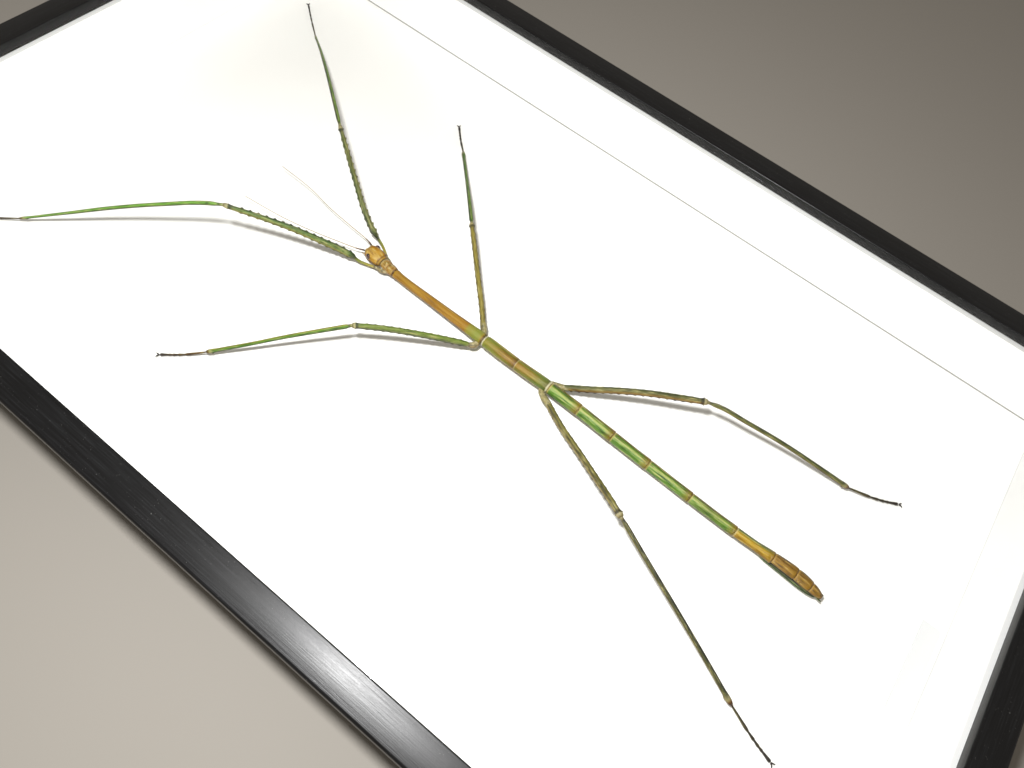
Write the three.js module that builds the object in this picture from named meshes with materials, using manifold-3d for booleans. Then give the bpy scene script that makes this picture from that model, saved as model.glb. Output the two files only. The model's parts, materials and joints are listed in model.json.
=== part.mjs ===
// A giant stick insect, dried and spread in a glazed shadow-box frame that lies on its back.
// Millimetres, +Z up. The origin is under the middle of the frame, and the insect's head points to -X.
import * as THREE from 'three';
import { mergeVertices } from 'three/addons/utils/BufferGeometryUtils.js';
import Module from 'manifold-3d';

const wasm = await Module();
wasm.setup();

// Driving dimensions of the frame.
const frame = { long: 519.8, wide: 318.4, high: 47 };
const rail = { wide: 13.2, lipHigh: 4.7, rabbet: 3.5, outerRound: 1.2, innerRound: 0.5 };
const glassThick = 2;
const panel = { recess: 0.9, thick: 2.5 };        // the fibreboard that closes the back
const boardThick = 1.2;                           // the white card that the insect lies over
const wallStand = 0.85;                           // how far the white walls stand inside the lip
const label = { wide: 8.4, long: 44, thick: 0.4, fromWall: 2.2, middle: -5 };
const snug = 0.1;                                 // play between the pieces of the frame
const gap = 0.3;                                  // space between neighbouring pieces of the insect

const boardTop = panel.recess + panel.thick + snug + boardThick;
const lipUnder = frame.high - rail.lipHigh;
const glassUnder = lipUnder - snug - glassThick;
const inside = { long: frame.long - 2 * rail.wide, wide: frame.wide - 2 * rail.wide };

// Driving dimensions of the insect: places are [x, y, height above the card], sizes are half widths.
const bodyLine = [
  [-63.6, 0, 5.6], [-52.8, -0.9, 5.4], [-44.1, -2.3, 5.6], [-20, -3.4, 6.6],
  [12.8, -3.8, 7.6], [31, -4, 7.5], [50, -3.6, 7.4], [105, -4.8, 6.2], [151, -5.6, 5.7],
  [170, -5.3, 5.7], [182, -5.3, 5.7], [194.4, -6.5, 5.6],
];
const section = {
  head: 4.5, prothorax: 2.8, thoraxFront: 2.1, thoraxRear: 3.05, metathorax: 3.1,
  abdomenFront: 3, abdomenRear: 2.35, tail: 2.9,
};
// Where the body segments meet, as x.
const cuts = {
  neck: -52.9, prothorax: -44.1, mesothorax: 12.8, metathorax: 31.5,
  abdomen: [50.2, 67, 86, 105.7, 128.3, 151.4, 169.9], tergites: [181, 188.6], tip: 194.4,
};
const bodySides = 12;
const legSides = 8;
const shades = {
  head: 0xc08d3a, thorax: 0x8a5a24, abdomen: 0x4f7a32, gold: 0xb07f2c, tail: 0x5d4a22, eye: 0x3a120e,
  femur: 0x3f5a26, tibia: 0x4c7a35, hindLeg: 0x5a5228, tarsus: 0x2c1a10, coxa: 0x9a8350, feeler: 0x9b7a52,
};

const model = new THREE.Group();

function addMesh(name, geometry, color, roughness = 0.5, metalness = 0) {
  const mesh = new THREE.Mesh(geometry, new THREE.MeshStandardMaterial({ color, roughness, metalness }));
  mesh.name = name;
  model.add(mesh);
  return mesh;
}

// Solid geometry for the joins and cuts.
function solidOf(geometry) {
  const bare = geometry.clone();
  bare.deleteAttribute('normal');
  bare.deleteAttribute('uv');
  const merged = mergeVertices(bare, 1e-4);
  return new wasm.Manifold(new wasm.Mesh({
    numProp: 3,
    vertProperties: new Float32Array(merged.attributes.position.array),
    triVerts: new Uint32Array(merged.index.array),
  }));
}

function geometryOf(solid) {
  const mesh = solid.getMesh();
  const geometry = new THREE.BufferGeometry();
  geometry.setAttribute('position', new THREE.BufferAttribute(mesh.vertProperties, 3));
  geometry.setIndex(new THREE.BufferAttribute(mesh.triVerts, 1));
  return geometry;
}

function without(geometry, ...others) {
  return geometryOf(others.reduce((solid, other) => solid.subtract(solidOf(other)), solidOf(geometry)));
}

function joined(...geometries) {
  return geometryOf(geometries.map(solidOf).reduce((all, solid) => all.add(solid)));
}

const mix = (from, to, part) => from + (to - from) * part;
const place = ([x, y, height]) => new THREE.Vector3(x, y, boardTop + height);
const curveOf = (points) => new THREE.CatmullRomCurve3(points.map(place), false, 'centripetal');

// One station of a limb: how far along it lies (0 to 1), and how far its section reaches each way.
function oval(at, wide, high = wide, under = high) {
  return { at, right: wide, left: wide, up: high, down: under };
}

// A closed tube along a curve, with a flat face at each end. Its ends may face another way than the curve,
// so that two neighbours meet in one plane.
function tube(curve, stations, sides, startFacing, endFacing) {
  const last = stations.length - 1;
  const profile = [new THREE.Vector2(0, 0)];
  stations.forEach((station, i) => profile.push(new THREE.Vector2(1, i)));
  profile.push(new THREE.Vector2(0, last));
  const geometry = new THREE.LatheGeometry(profile, sides);
  const rings = stations.map((station, i) => {
    const facing = (i === 0 && startFacing) || (i === last && endFacing) || curve.getTangentAt(station.at);
    const up = new THREE.Vector3(0, 0, 1).addScaledVector(facing, -facing.z).normalize();
    return { middle: curve.getPointAt(station.at), up, side: new THREE.Vector3().crossVectors(facing, up) };
  });
  const position = geometry.attributes.position;
  for (let v = 0; v < position.count; v++) {
    const i = Math.round(position.getY(v));
    const x = position.getX(v);
    const z = position.getZ(v);
    const point = rings[i].middle.clone();
    point.addScaledVector(rings[i].side, x * (x > 0 ? stations[i].right : stations[i].left));
    point.addScaledVector(rings[i].up, z * (z > 0 ? stations[i].up : stations[i].down));
    position.setXYZ(v, point.x, point.y, point.z);
  }
  return geometry;
}

const grown = (stations, by) => stations.map((station) => ({
  at: station.at,
  right: station.right + by,
  left: station.left + by,
  up: station.up + by,
  down: station.down + by,
}));

// ---- The frame ----
// A rail of the moulding: its section is drawn from the outer face inwards, and its ends are mitred.
function railGeometry(length) {
  const { wide, rabbet, outerRound, innerRound } = rail;
  const shape = new THREE.Shape();
  shape.moveTo(0, 0);
  shape.lineTo(wide - rabbet, 0);
  shape.lineTo(wide - rabbet, lipUnder);
  shape.lineTo(wide, lipUnder);
  shape.lineTo(wide, frame.high - innerRound);
  shape.absarc(wide - innerRound, frame.high - innerRound, innerRound, 0, Math.PI / 2);
  shape.lineTo(outerRound, frame.high);
  shape.absarc(outerRound, frame.high - outerRound, outerRound, Math.PI / 2, Math.PI);
  const geometry = new THREE.ExtrudeGeometry(shape, { depth: 1, bevelEnabled: false, curveSegments: 3 });
  const position = geometry.attributes.position;
  for (let v = 0; v < position.count; v++) {
    const inward = position.getX(v);
    const height = position.getY(v);
    const end = position.getZ(v) > 0.5 ? 1 : -1;
    position.setXYZ(v, end * (length / 2 - inward - snug), inward, height);
  }
  return geometry;
}

const railPlaces = [
  { name: 'rail_near', length: frame.long, x: 0, y: -frame.wide / 2, turn: 0 },
  { name: 'rail_right', length: frame.wide, x: frame.long / 2, y: 0, turn: Math.PI / 2 },
  { name: 'rail_far', length: frame.long, x: 0, y: frame.wide / 2, turn: Math.PI },
  { name: 'rail_left', length: frame.wide, x: -frame.long / 2, y: 0, turn: -Math.PI / 2 },
];
for (const side of railPlaces) {
  const mesh = addMesh(side.name, railGeometry(side.length), 0x1d1d1e, 0.35);
  mesh.position.set(side.x, side.y, 0);
  mesh.rotation.z = side.turn;
}

function addBox(name, size, bottom, color, roughness, x = 0, y = 0) {
  const mesh = addMesh(name, new THREE.BoxGeometry(size.x, size.y, size.z), color, roughness);
  mesh.position.set(x, y, bottom + size.z / 2);
}

const rabbetSpan = {
  x: inside.long + 2 * (rail.rabbet - snug),
  y: inside.wide + 2 * (rail.rabbet - snug),
};
addBox('glass', { ...rabbetSpan, z: glassThick }, glassUnder, 0xdfe8e6, 0.05);
addBox('back_panel', { ...rabbetSpan, z: panel.thick }, panel.recess, 0x6b4a30, 0.8);
addBox('mount_card', { ...rabbetSpan, z: boardThick }, boardTop - boardThick, 0xf6f5f1, 0.8);

// White walls between the card and the glass.
const wallThick = rail.rabbet - snug + wallStand;
const wallHigh = glassUnder - boardTop - 2 * snug;
const shortWall = inside.wide - 2 * wallStand - 2 * snug;
for (const [name, side] of [['wall_near', -1], ['wall_far', 1]]) {
  const y = side * (inside.wide / 2 - wallStand + wallThick / 2);
  addBox(name, { x: rabbetSpan.x, y: wallThick, z: wallHigh }, boardTop + snug, 0xf4f3ef, 0.7, 0, y);
}
for (const [name, side] of [['wall_left', -1], ['wall_right', 1]]) {
  const x = side * (inside.long / 2 - wallStand + wallThick / 2);
  addBox(name, { x: wallThick, y: shortWall, z: wallHigh }, boardTop + snug, 0xf4f3ef, 0.7, x, 0);
}
const labelX = inside.long / 2 - wallStand - label.fromWall - label.wide / 2;
const labelSize = { x: label.wide, y: label.long, z: label.thick };
addBox('label', labelSize, boardTop + snug, 0xfbfaf6, 0.9, labelX, label.middle);

// ---- The body ----
const bodyCurve = curveOf(bodyLine);

// The place on the body line, 0 to 1, that lies at a given x.
function alongBody(x) {
  let low = 0;
  let high = 1;
  for (let i = 0; i < 40; i++) {
    const middle = (low + high) / 2;
    if (bodyCurve.getPointAt(middle).x < x) low = middle;
    else high = middle;
  }
  return (low + high) / 2;
}

// A body segment between two cuts. Each row of the outline gives the part of its length and its half sizes.
function segmentStations(fromX, toX, outline) {
  const from = fromX + gap / 2;
  const to = toX - gap / 2;
  return outline.map(([part, wide, high, under]) => {
    return oval(alongBody(mix(from, to, part)), wide, high, under);
  });
}

const bodyTube = (stations) => tube(bodyCurve, stations, bodySides);

// The head: a blunt face, the crown, the cheeks behind the eyes, and the narrower neck.
const headStations = segmentStations(-63.7, cuts.neck, [
  [0, 1.5, 1.1, 1.7],
  [0.05, 2.5, 1.9, 2.5],
  [0.17, 3.3, 2.6, 3],
  [0.4, section.head - 0.15, 3.2, 3.3],
  [0.65, section.head, 3.3, 3.2],
  [0.85, 3.8, 3, 2.9],
  [0.96, 3.1, 2.5, 2.4],
  [1, 2.4, 1.9, 1.9],
]);
const eye = { left: [-60.8, -3.1, 6.4], right: [-60.4, 3.4, 6.4], long: 1.25, wide: 0.85, high: 1.1 };
const palp = { x: -62.6, out: 1.5, down: 1.4, reach: 2.6, radius: 0.38 };

function eyeGeometry(middle, more) {
  const geometry = new THREE.SphereGeometry(1, 10, 8);
  geometry.scale(eye.long + more, eye.wide + more, eye.high + more);
  return geometry.translate(...place(middle));
}

// A short mouth feeler on each side of the face.
function palpGeometry(side) {
  const middle = bodyCurve.getPointAt(alongBody(palp.x));
  const start = new THREE.Vector3(middle.x, middle.y + side * palp.out, middle.z - palp.down);
  const end = start.clone().add(new THREE.Vector3(-palp.reach, side * 0.7, -0.5));
  const stations = [oval(0, palp.radius), oval(0.85, palp.radius), oval(1, palp.radius * 0.6)];
  return tube(new THREE.LineCurve3(start, end), stations, 6);
}

const headShell = joined(bodyTube(headStations), palpGeometry(-1), palpGeometry(1));
addMesh('head', without(headShell, eyeGeometry(eye.left, gap), eyeGeometry(eye.right, gap)), shades.head);
addMesh('eye_left', eyeGeometry(eye.left, 0), shades.eye, 0.2);
addMesh('eye_right', eyeGeometry(eye.right, 0), shades.eye, 0.2);

const trunk = {
  prothorax: segmentStations(cuts.neck, cuts.prothorax, [
    [0, 2.1, 1.8], [0.1, 2.5, 2.2], [0.42, section.prothorax, 2.4], [0.5, section.prothorax - 0.15, 2.25],
    [0.58, section.prothorax, 2.4], [0.9, 2.55, 2.3], [1, 2.3, 2.1],
  ]),
  mesothorax: segmentStations(cuts.prothorax, cuts.mesothorax, [
    [0, 2.15, 2], [0.02, 2.35, 2.2], [0.1, section.thoraxFront, 2], [0.3, 2.15, 2.05], [0.55, 2.35, 2.2],
    [0.8, 2.65, 2.45], [0.94, section.thoraxRear, 2.8], [0.985, section.thoraxRear - 0.1, 2.7], [1, 2.6, 2.4],
  ]),
  metathorax: segmentStations(cuts.mesothorax, cuts.metathorax, [
    [0, 2.55, 2.35], [0.04, 2.85, 2.6], [0.4, section.metathorax, 2.55], [1, section.metathorax - 0.05, 2.5],
  ]),
  median_segment: segmentStations(cuts.metathorax, cuts.abdomen[0], [
    [0, section.metathorax - 0.05, 2.5], [0.5, section.metathorax, 2.55], [0.85, 3, 2.75],
    [0.97, 2.95, 2.7], [1, 2.6, 2.4],
  ]),
};
// Segments 2 to 7: each is a little wider at its rear rim, where it overlaps the next.
cuts.abdomen.slice(1).forEach((rear, i) => {
  const wide = mix(section.abdomenFront, section.abdomenRear, i / (cuts.abdomen.length - 2));
  const swell = i === 5 ? 0.35 : 0;
  trunk[`abdomen_${i + 2}`] = segmentStations(cuts.abdomen[i], rear, [
    [0, wide - 0.25, wide - 0.4], [0.03, wide, wide - 0.15], [0.5, wide - 0.05, wide - 0.2],
    [0.97, wide + 0.05 + swell, wide - 0.1 + swell], [1, wide - 0.2 + swell, wide - 0.35 + swell],
  ]);
});
const trunkShade = (name) => {
  if (name === 'abdomen_7') return shades.gold;
  return name.startsWith('abdomen') ? shades.abdomen : shades.thorax;
};
for (const [name, stations] of Object.entries(trunk)) {
  addMesh(name, bodyTube(stations), trunkShade(name));
}

// The last three rings are roofs over the egg scoop: arched above, nearly flat below.
const tergiteFloor = 0.6;
const tergites = [
  {
    from: cuts.abdomen[6], to: cuts.tergites[0],
    outline: [[0, 2.3, 2.3], [0.06, 2.6, 2.55], [0.95, 2.9, 2.65], [1, 2.65, 2.45]],
  },
  {
    from: cuts.tergites[0], to: cuts.tergites[1],
    outline: [[0, 2.6, 2.3], [0.1, section.tail, 2.45], [0.94, 2.6, 2.25], [1, 2.3, 2]],
  },
  {
    from: cuts.tergites[1], to: cuts.tip,
    outline: [[0, 2, 1.95], [0.1, 2.2, 2.05], [0.6, 1.8, 1.6], [1, 0.9, 0.8]],
  },
];
tergites.forEach(({ from, to, outline }, i) => {
  const roof = outline.map(([part, wide, high]) => [part, wide, high, tergiteFloor]);
  const stations = segmentStations(from, to, roof);
  let geometry = bodyTube(stations);
  if (i === 2) {
    const notch = new THREE.CylinderGeometry(0.55, 0.55, 8, 8).rotateX(Math.PI / 2);
    const tip = bodyCurve.getPointAt(1);
    geometry = without(geometry, notch.translate(tip.x + 0.1, tip.y, tip.z));
  }
  addMesh(`abdomen_${i + 8}`, geometry, shades.tail);
});

const scoop = { from: 162.5, to: 192.6, drop: 1.3 };
const scoopLine = [0, 0.25, 0.5, 0.75, 1].map((part) => {
  const point = bodyCurve.getPointAt(alongBody(scoop.from + part * (scoop.to - scoop.from)));
  return [point.x, point.y - 0.3, point.z - boardTop - scoop.drop];
});
const scoopStations = [
  [0, 0.7, 0.2, 1.3], [0.06, 1.3, 0.3, 1.9], [0.25, 2.2, 0.35, 2.2], [0.5, 2.6, 0.35, 2.3],
  [0.75, 2.5, 0.35, 2.3], [0.93, 1.5, 0.3, 1.6], [1, 0.7, 0.25, 0.7],
].map(([at, wide, high, under]) => oval(at, wide, high, under));
const rearShell = segmentStations(scoop.from - 6, cuts.abdomen[6], [[0, 2.6, 2.5], [1, 2.75, 2.65]]);
const scoopSolid = tube(curveOf(scoopLine), scoopStations, bodySides);
addMesh('egg_scoop', without(scoopSolid, bodyTube(grown(rearShell, gap))), shades.abdomen);

// ---- The legs ----
// Saw teeth along the two edges of a thigh: stations at the foot and the tip of each tooth.
function toothed(from, to, count, size, width, height) {
  const stations = [];
  for (let i = 0; i < count; i++) {
    const foot = from + ((to - from) * i) / count;
    const tip = foot + ((to - from) * 0.55) / count;
    stations.push(oval(foot, width(foot), height(foot)));
    const crest = oval(tip, width(tip), height(tip));
    crest.right += size;
    crest.left += size;
    stations.push(crest);
  }
  return stations;
}

// Front thigh: a thin stalk bent round the head, then a tall blade that starts at a sharp step.
function frontFemur() {
  const stalk = 0.155;
  const width = (at) => mix(1.5, 1.05, (at - stalk) / (1 - stalk));
  const height = (at) => mix(2.3, 1.35, (at - stalk) / (1 - stalk));
  return [
    oval(0, 0.6), oval(0.05, 0.7), oval(0.1, 0.7), oval(0.145, 0.85, 0.9), oval(0.165, 1.35, 2, 1.6),
    ...toothed(0.18, 0.93, 11, 0.32, width, height),
    oval(0.94, 1.1, 1.4), oval(0.975, 1.3, 1.5), oval(1, 1, 1.1),
  ];
}

function rearFemur(wide, high) {
  const width = () => wide;
  const height = () => high;
  return [
    oval(0, wide * 0.7, high * 0.7), oval(0.03, wide, high * 0.9),
    ...toothed(0.06, 0.92, 10, 0.26, width, height),
    oval(0.93, wide, high), oval(0.975, wide + 0.2, high), oval(1, wide - 0.2, high - 0.4),
  ];
}

function shin(start, middle, end) {
  return [
    oval(0, start * 0.85), oval(0.03, start), oval(0.3, (start + middle) / 2, (start + middle) / 2 + 0.1),
    oval(0.6, middle), oval(0.9, end * 0.85), oval(0.975, end), oval(1, end * 0.75),
  ];
}

// The foot: five short pieces, the first as long as the rest, each wider at its far end.
const footCuts = [0, 0.46, 0.6, 0.71, 0.79, 1];
function foot(radius) {
  const stations = [];
  for (let i = 0; i < 5; i++) {
    const from = footCuts[i];
    const to = footCuts[i + 1];
    stations.push(oval(from + 0.004, radius * 0.7));
    stations.push(oval(mix(from, to, 0.85), i === 4 ? radius * 1.1 : radius));
    stations.push(oval(to - 0.004, radius * 0.75));
  }
  return stations;
}

const hipOutline = [[0, 1.1], [0.3, 1.2], [0.6, 1], [0.85, 0.75], [1, 0.65]];
const claw = { reach: 1.5, spread: 0.9, droop: 0.45, radius: 0.3 };
function clawGeometry(end, facing, side) {
  const across = new THREE.Vector3(-facing.y, facing.x, 0).normalize();
  const forward = new THREE.Vector3(facing.x, facing.y, 0).normalize();
  const root = end.clone().addScaledVector(facing, -0.4).addScaledVector(across, side * 0.2);
  const bend = root.clone().addScaledVector(forward, claw.reach * 0.7);
  bend.addScaledVector(across, side * claw.spread);
  const tip = bend.clone().addScaledVector(forward, claw.reach * 0.6);
  tip.z = Math.max(tip.z - claw.droop, boardTop + gap + 0.2);
  const stations = [oval(0, claw.radius), oval(0.5, claw.radius * 0.9), oval(1, claw.radius * 0.5)];
  return tube(new THREE.QuadraticBezierCurve3(root, bend, tip), stations, 5);
}

const kinds = {
  front: { femur: frontFemur(), tibia: shin(1, 0.85, 0.65), foot: 0.55, hip: 1.15, tint: shades.tibia },
  mid: { femur: rearFemur(1.3, 1.8), tibia: shin(1.15, 0.85, 1.1), foot: 0.65, hip: 1.6, tint: shades.tibia },
  hind: { femur: rearFemur(1.5, 1.6), tibia: shin(1.1, 1, 1.25), foot: 0.7, hip: 1.6, tint: shades.hindLeg },
};

// Each leg is a chain of places: through the hip, along the thigh to the knee, along the shin to the ankle,
// and along the foot to its claws.
const legs = [
  {
    name: 'front_left', kind: kinds.front, beside: [trunk.prothorax, headStations],
    hip: [[-47.8, -3.7, 4.4], [-51, -5.1, 4], [-54.4, -5, 3.8]],
    thigh: [
      [-57.8, -5.9, 3.7], [-61.6, -7.2, 4.2], [-66.2, -9, 7.2], [-76.9, -15.8, 13.9], [-90.3, -24.4, 21.2],
    ],
    knee: [-113, -39.3, 30.3],
    shin: [[-120, -44.2, 30], [-134.9, -54.6, 26], [-153.4, -67.5, 19.8], [-173.8, -81.9, 11.6]],
    ankle: [-194.3, -96.2, 3.3], sole: [-206.5, -105.3, 1.9], toe: [-218.4, -113.8, 1.5],
  },
  {
    name: 'front_right', kind: kinds.front, beside: [trunk.prothorax, headStations],
    hip: [[-49, 0.4, 4.4], [-51.8, 2.2, 4], [-55, 3.7, 3.8]],
    thigh: [
      [-58.1, 5.6, 3.7], [-61.8, 7.2, 4.6], [-67, 7.9, 7.8], [-75.9, 11.2, 13.5], [-87.2, 17.7, 20.5],
    ],
    knee: [-111.2, 32.8, 30.3],
    shin: [[-131.6, 48.3, 27.6], [-150.2, 62.6, 22.6], [-171, 78.4, 14.6]],
    ankle: [-193.5, 95.2, 3.3], sole: [-206.4, 104.9, 1.9], toe: [-218.2, 114.1, 1.5],
  },
  {
    name: 'mid_left', kind: kinds.mid, beside: [trunk.mesothorax],
    hip: [[10, -5.8, 6.4], [9.9, -8.1, 6.1], [8, -10.1, 6.8]],
    thigh: [[4.7, -12.7, 8.3], [-13.1, -26.9, 14.6], [-23.4, -35.1, 17]],
    knee: [-32.7, -42.6, 18.1],
    shin: [[-43.2, -53.6, 15], [-53, -63.9, 12], [-62.8, -74.2, 8.3]],
    ankle: [-76.9, -89, 3.6], sole: [-84.3, -96, 1.9], toe: [-92.2, -102.8, 1.5],
  },
  {
    name: 'mid_right', kind: kinds.mid, beside: [trunk.mesothorax],
    hip: [[9.2, -1.6, 6.4], [8.8, 0.4, 6.2], [6.9, 2.2, 6.8]],
    thigh: [[-0.7, 9.7, 9.8], [-9.6, 18, 12.7], [-20.7, 28.8, 15.6]],
    knee: [-31, 38.7, 18.1],
    shin: [[-41.1, 49.7, 15.9], [-53.5, 63.4, 11], [-64.8, 75.8, 6.6]],
    ankle: [-72.7, 84.5, 3.6], sole: [-80.7, 92.2, 1.9], toe: [-88.1, 99.8, 1.5],
  },
  {
    name: 'hind_left', kind: kinds.hind, beside: [trunk.median_segment, trunk.abdomen_2],
    hip: [[47, -6, 6.4], [49.6, -8.2, 6.2], [53, -9.6, 6.6]],
    thigh: [[65, -15.7, 7.3], [78.1, -22.2, 10.8], [91.1, -28.6, 13.8], [100.2, -33.1, 16]],
    knee: [109, -37.5, 17.5],
    shin: [[128.1, -44.8, 14.2], [146.1, -51.7, 11.5], [163.6, -58.4, 8.4]],
    ankle: [183.8, -66.1, 4], sole: [197.5, -70.9, 2.1], toe: [207, -73.6, 1.5],
  },
  {
    name: 'hind_right', kind: kinds.hind, beside: [trunk.median_segment, trunk.abdomen_2],
    hip: [[48, -1.6, 6.4], [50.6, -0.2, 6.2], [53.6, 0.4, 6.8]],
    thigh: [[64.7, 6.5, 10], [75.8, 12.7, 13.8], [86.8, 18.8, 16.6], [98.3, 25.1, 18.1]],
    knee: [110, 31.6, 19],
    shin: [[117.4, 33.3, 19.8], [126.6, 35.3, 18.4], [146.9, 39.8, 15], [169.1, 44.8, 8.6]],
    ankle: [182.6, 47.8, 4], sole: [196.2, 53.1, 2.1], toe: [206, 58.2, 1.5],
  },
];

// Two neighbours meet in the plane that halves the bend between them.
function meeting(before, after) {
  return before.getTangentAt(1).add(after.getTangentAt(0)).normalize();
}

// Stations drawn in from each end of a curve by half the gap.
function trimmed(curve, stations) {
  const part = gap / 2 / curve.getLength();
  return stations.map((station) => ({ ...station, at: mix(part, 1 - part, station.at) }));
}

for (const leg of legs) {
  const hip = curveOf(leg.hip);
  const thigh = curveOf([leg.hip[2], ...leg.thigh, leg.knee]);
  const lower = curveOf([leg.knee, ...leg.shin, leg.ankle]);
  const sole = curveOf([leg.ankle, leg.sole, leg.toe]);
  const atHip = meeting(hip, thigh);
  const atKnee = meeting(thigh, lower);
  const atAnkle = meeting(lower, sole);
  const hipStations = hipOutline.map(([at, part]) => oval(at, leg.kind.hip * part));
  const hipTube = tube(hip, trimmed(hip, hipStations), legSides, undefined, atHip);
  const cleared = without(hipTube, ...leg.beside.map((stations) => bodyTube(grown(stations, gap))));
  const femur = tube(thigh, trimmed(thigh, leg.kind.femur), legSides, atHip, atKnee);
  const tibia = tube(lower, trimmed(lower, leg.kind.tibia), legSides, atKnee, atAnkle);
  const footTube = tube(sole, trimmed(sole, foot(leg.kind.foot)), legSides - 2, atAnkle);
  const claws = [-1, 1].map((side) => clawGeometry(sole.getPointAt(1), sole.getTangentAt(1), side));
  addMesh(`coxa_${leg.name}`, cleared, shades.coxa);
  addMesh(`femur_${leg.name}`, femur, shades.femur);
  addMesh(`tibia_${leg.name}`, tibia, leg.kind.tint);
  addMesh(`tarsus_${leg.name}`, joined(footTube, ...claws), shades.tarsus);
}

// ---- The feelers ----
// A stout first piece, then a thread of even joints that thins to its tip.
const feelers = {
  antenna_left: [
    [-64.2, -2.2, 6.2], [-66.8, -3.7, 6.5], [-75.5, -6.9, 7], [-90.6, -11.7, 7.6],
    [-104, -15, 8], [-127.5, -18.5, 8.5],
  ],
  antenna_right: [
    [-64.2, 2.2, 6.2], [-66.3, 2.8, 6.5], [-78.9, 3.6, 7], [-93.6, 5, 7.4],
    [-108.7, 7.2, 7.8], [-129.3, 7.7, 8.5],
  ],
};
const feeler = { root: 0.5, thread: 0.3, tip: 0.25, stout: 0.055 };
const scape = [
  oval(0, feeler.root),
  oval(feeler.stout, feeler.root * 0.85),
  oval(feeler.stout + 0.01, feeler.thread),
];
const thread = [0.3, 0.5, 0.7, 0.9, 1].map((part) => oval(part, mix(feeler.thread, feeler.tip, part)));
for (const [name, points] of Object.entries(feelers)) {
  addMesh(name, tube(curveOf(points), [...scape, ...thread], 6), shades.feeler, 0.6);
}

export default model;
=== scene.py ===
# A giant stick insect, dried and spread in a black glazed shadow-box frame that lies on its back.
import json
import math

import bmesh
import bpy
from mathutils import Matrix, Vector

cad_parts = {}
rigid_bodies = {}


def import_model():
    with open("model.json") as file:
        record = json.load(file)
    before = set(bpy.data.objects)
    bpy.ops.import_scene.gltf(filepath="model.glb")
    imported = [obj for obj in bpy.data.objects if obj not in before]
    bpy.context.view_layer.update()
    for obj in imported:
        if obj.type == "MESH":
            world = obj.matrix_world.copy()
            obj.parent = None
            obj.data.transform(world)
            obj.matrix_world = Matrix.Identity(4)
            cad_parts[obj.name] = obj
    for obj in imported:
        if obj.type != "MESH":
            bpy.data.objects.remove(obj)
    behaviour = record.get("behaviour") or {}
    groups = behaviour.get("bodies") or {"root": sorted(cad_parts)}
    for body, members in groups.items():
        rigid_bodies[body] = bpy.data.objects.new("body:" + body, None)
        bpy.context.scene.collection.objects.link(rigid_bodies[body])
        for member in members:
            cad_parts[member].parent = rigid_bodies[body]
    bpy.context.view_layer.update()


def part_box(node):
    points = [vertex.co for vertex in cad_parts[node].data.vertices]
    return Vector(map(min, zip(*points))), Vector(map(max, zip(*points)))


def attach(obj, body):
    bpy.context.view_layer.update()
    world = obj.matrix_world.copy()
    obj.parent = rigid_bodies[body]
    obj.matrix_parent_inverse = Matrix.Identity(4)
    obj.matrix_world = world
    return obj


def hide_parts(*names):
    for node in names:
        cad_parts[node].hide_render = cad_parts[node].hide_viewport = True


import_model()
mm = 0.001
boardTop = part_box("mount_card")[1][2] / mm      # height of the white card, in mm


# Small helpers
def deselectAll():
    if bpy.context.mode != "OBJECT":
        bpy.ops.object.mode_set(mode="OBJECT")
    bpy.ops.object.select_all(action="DESELECT")


def activate(piece):
    deselectAll()
    piece.select_set(True)
    bpy.context.view_layer.objects.active = piece


def settle(name):
    piece = bpy.context.object
    piece.name = piece.data.name = name
    bpy.ops.object.transform_apply(location=True, rotation=True, scale=True)
    return piece


def pick(test, what="faces"):
    # in edit mode: selects only the faces, edges or vertices that pass the test
    bpy.ops.mesh.select_mode(type={"faces": "FACE", "edges": "EDGE", "verts": "VERT"}[what])
    bpy.ops.mesh.select_all(action="DESELECT")
    mesh = bmesh.from_edit_mesh(bpy.context.object.data)
    for item in getattr(mesh, what):
        if test(item):
            item.select_set(True)
    bmesh.update_edit_mesh(bpy.context.object.data)


def modify(piece, kind, **settings):
    activate(piece)
    modifier = piece.modifiers.new(kind.lower(), kind)
    for key, value in settings.items():
        setattr(modifier, key, value)
    bpy.ops.object.modifier_apply(modifier=modifier.name)


def joinAll(pieces):
    # joins the others to the first
    deselectAll()
    for piece in pieces:
        piece.select_set(True)
    bpy.context.view_layer.objects.active = pieces[0]
    bpy.ops.object.join()
    return pieces[0]


def smooth(piece, degrees):
    activate(piece)
    bpy.ops.object.shade_smooth_by_angle(angle=math.radians(degrees))


def layDown(piece, start=0):
    # keeps each point's place on the straight piece, in mm, so that patterns follow the piece once it is bent
    lay = piece.data.attributes.new("lay", "FLOAT_VECTOR", "CORNER")
    places = []
    for loop in piece.data.loops:
        x, y, z = piece.data.vertices[loop.vertex_index].co / mm
        places += [x + start, y, z]
    lay.data.foreach_set("vector", places)


def mix(a, b, part):
    return a + (b - a) * part


# Materials
def linear(hexCode):
    parts = [int(hexCode[i:i + 2], 16) / 255 for i in (1, 3, 5)]
    return [c / 12.92 if c <= 0.04045 else ((c + 0.055) / 1.055) ** 2.4 for c in parts] + [1]


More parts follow.
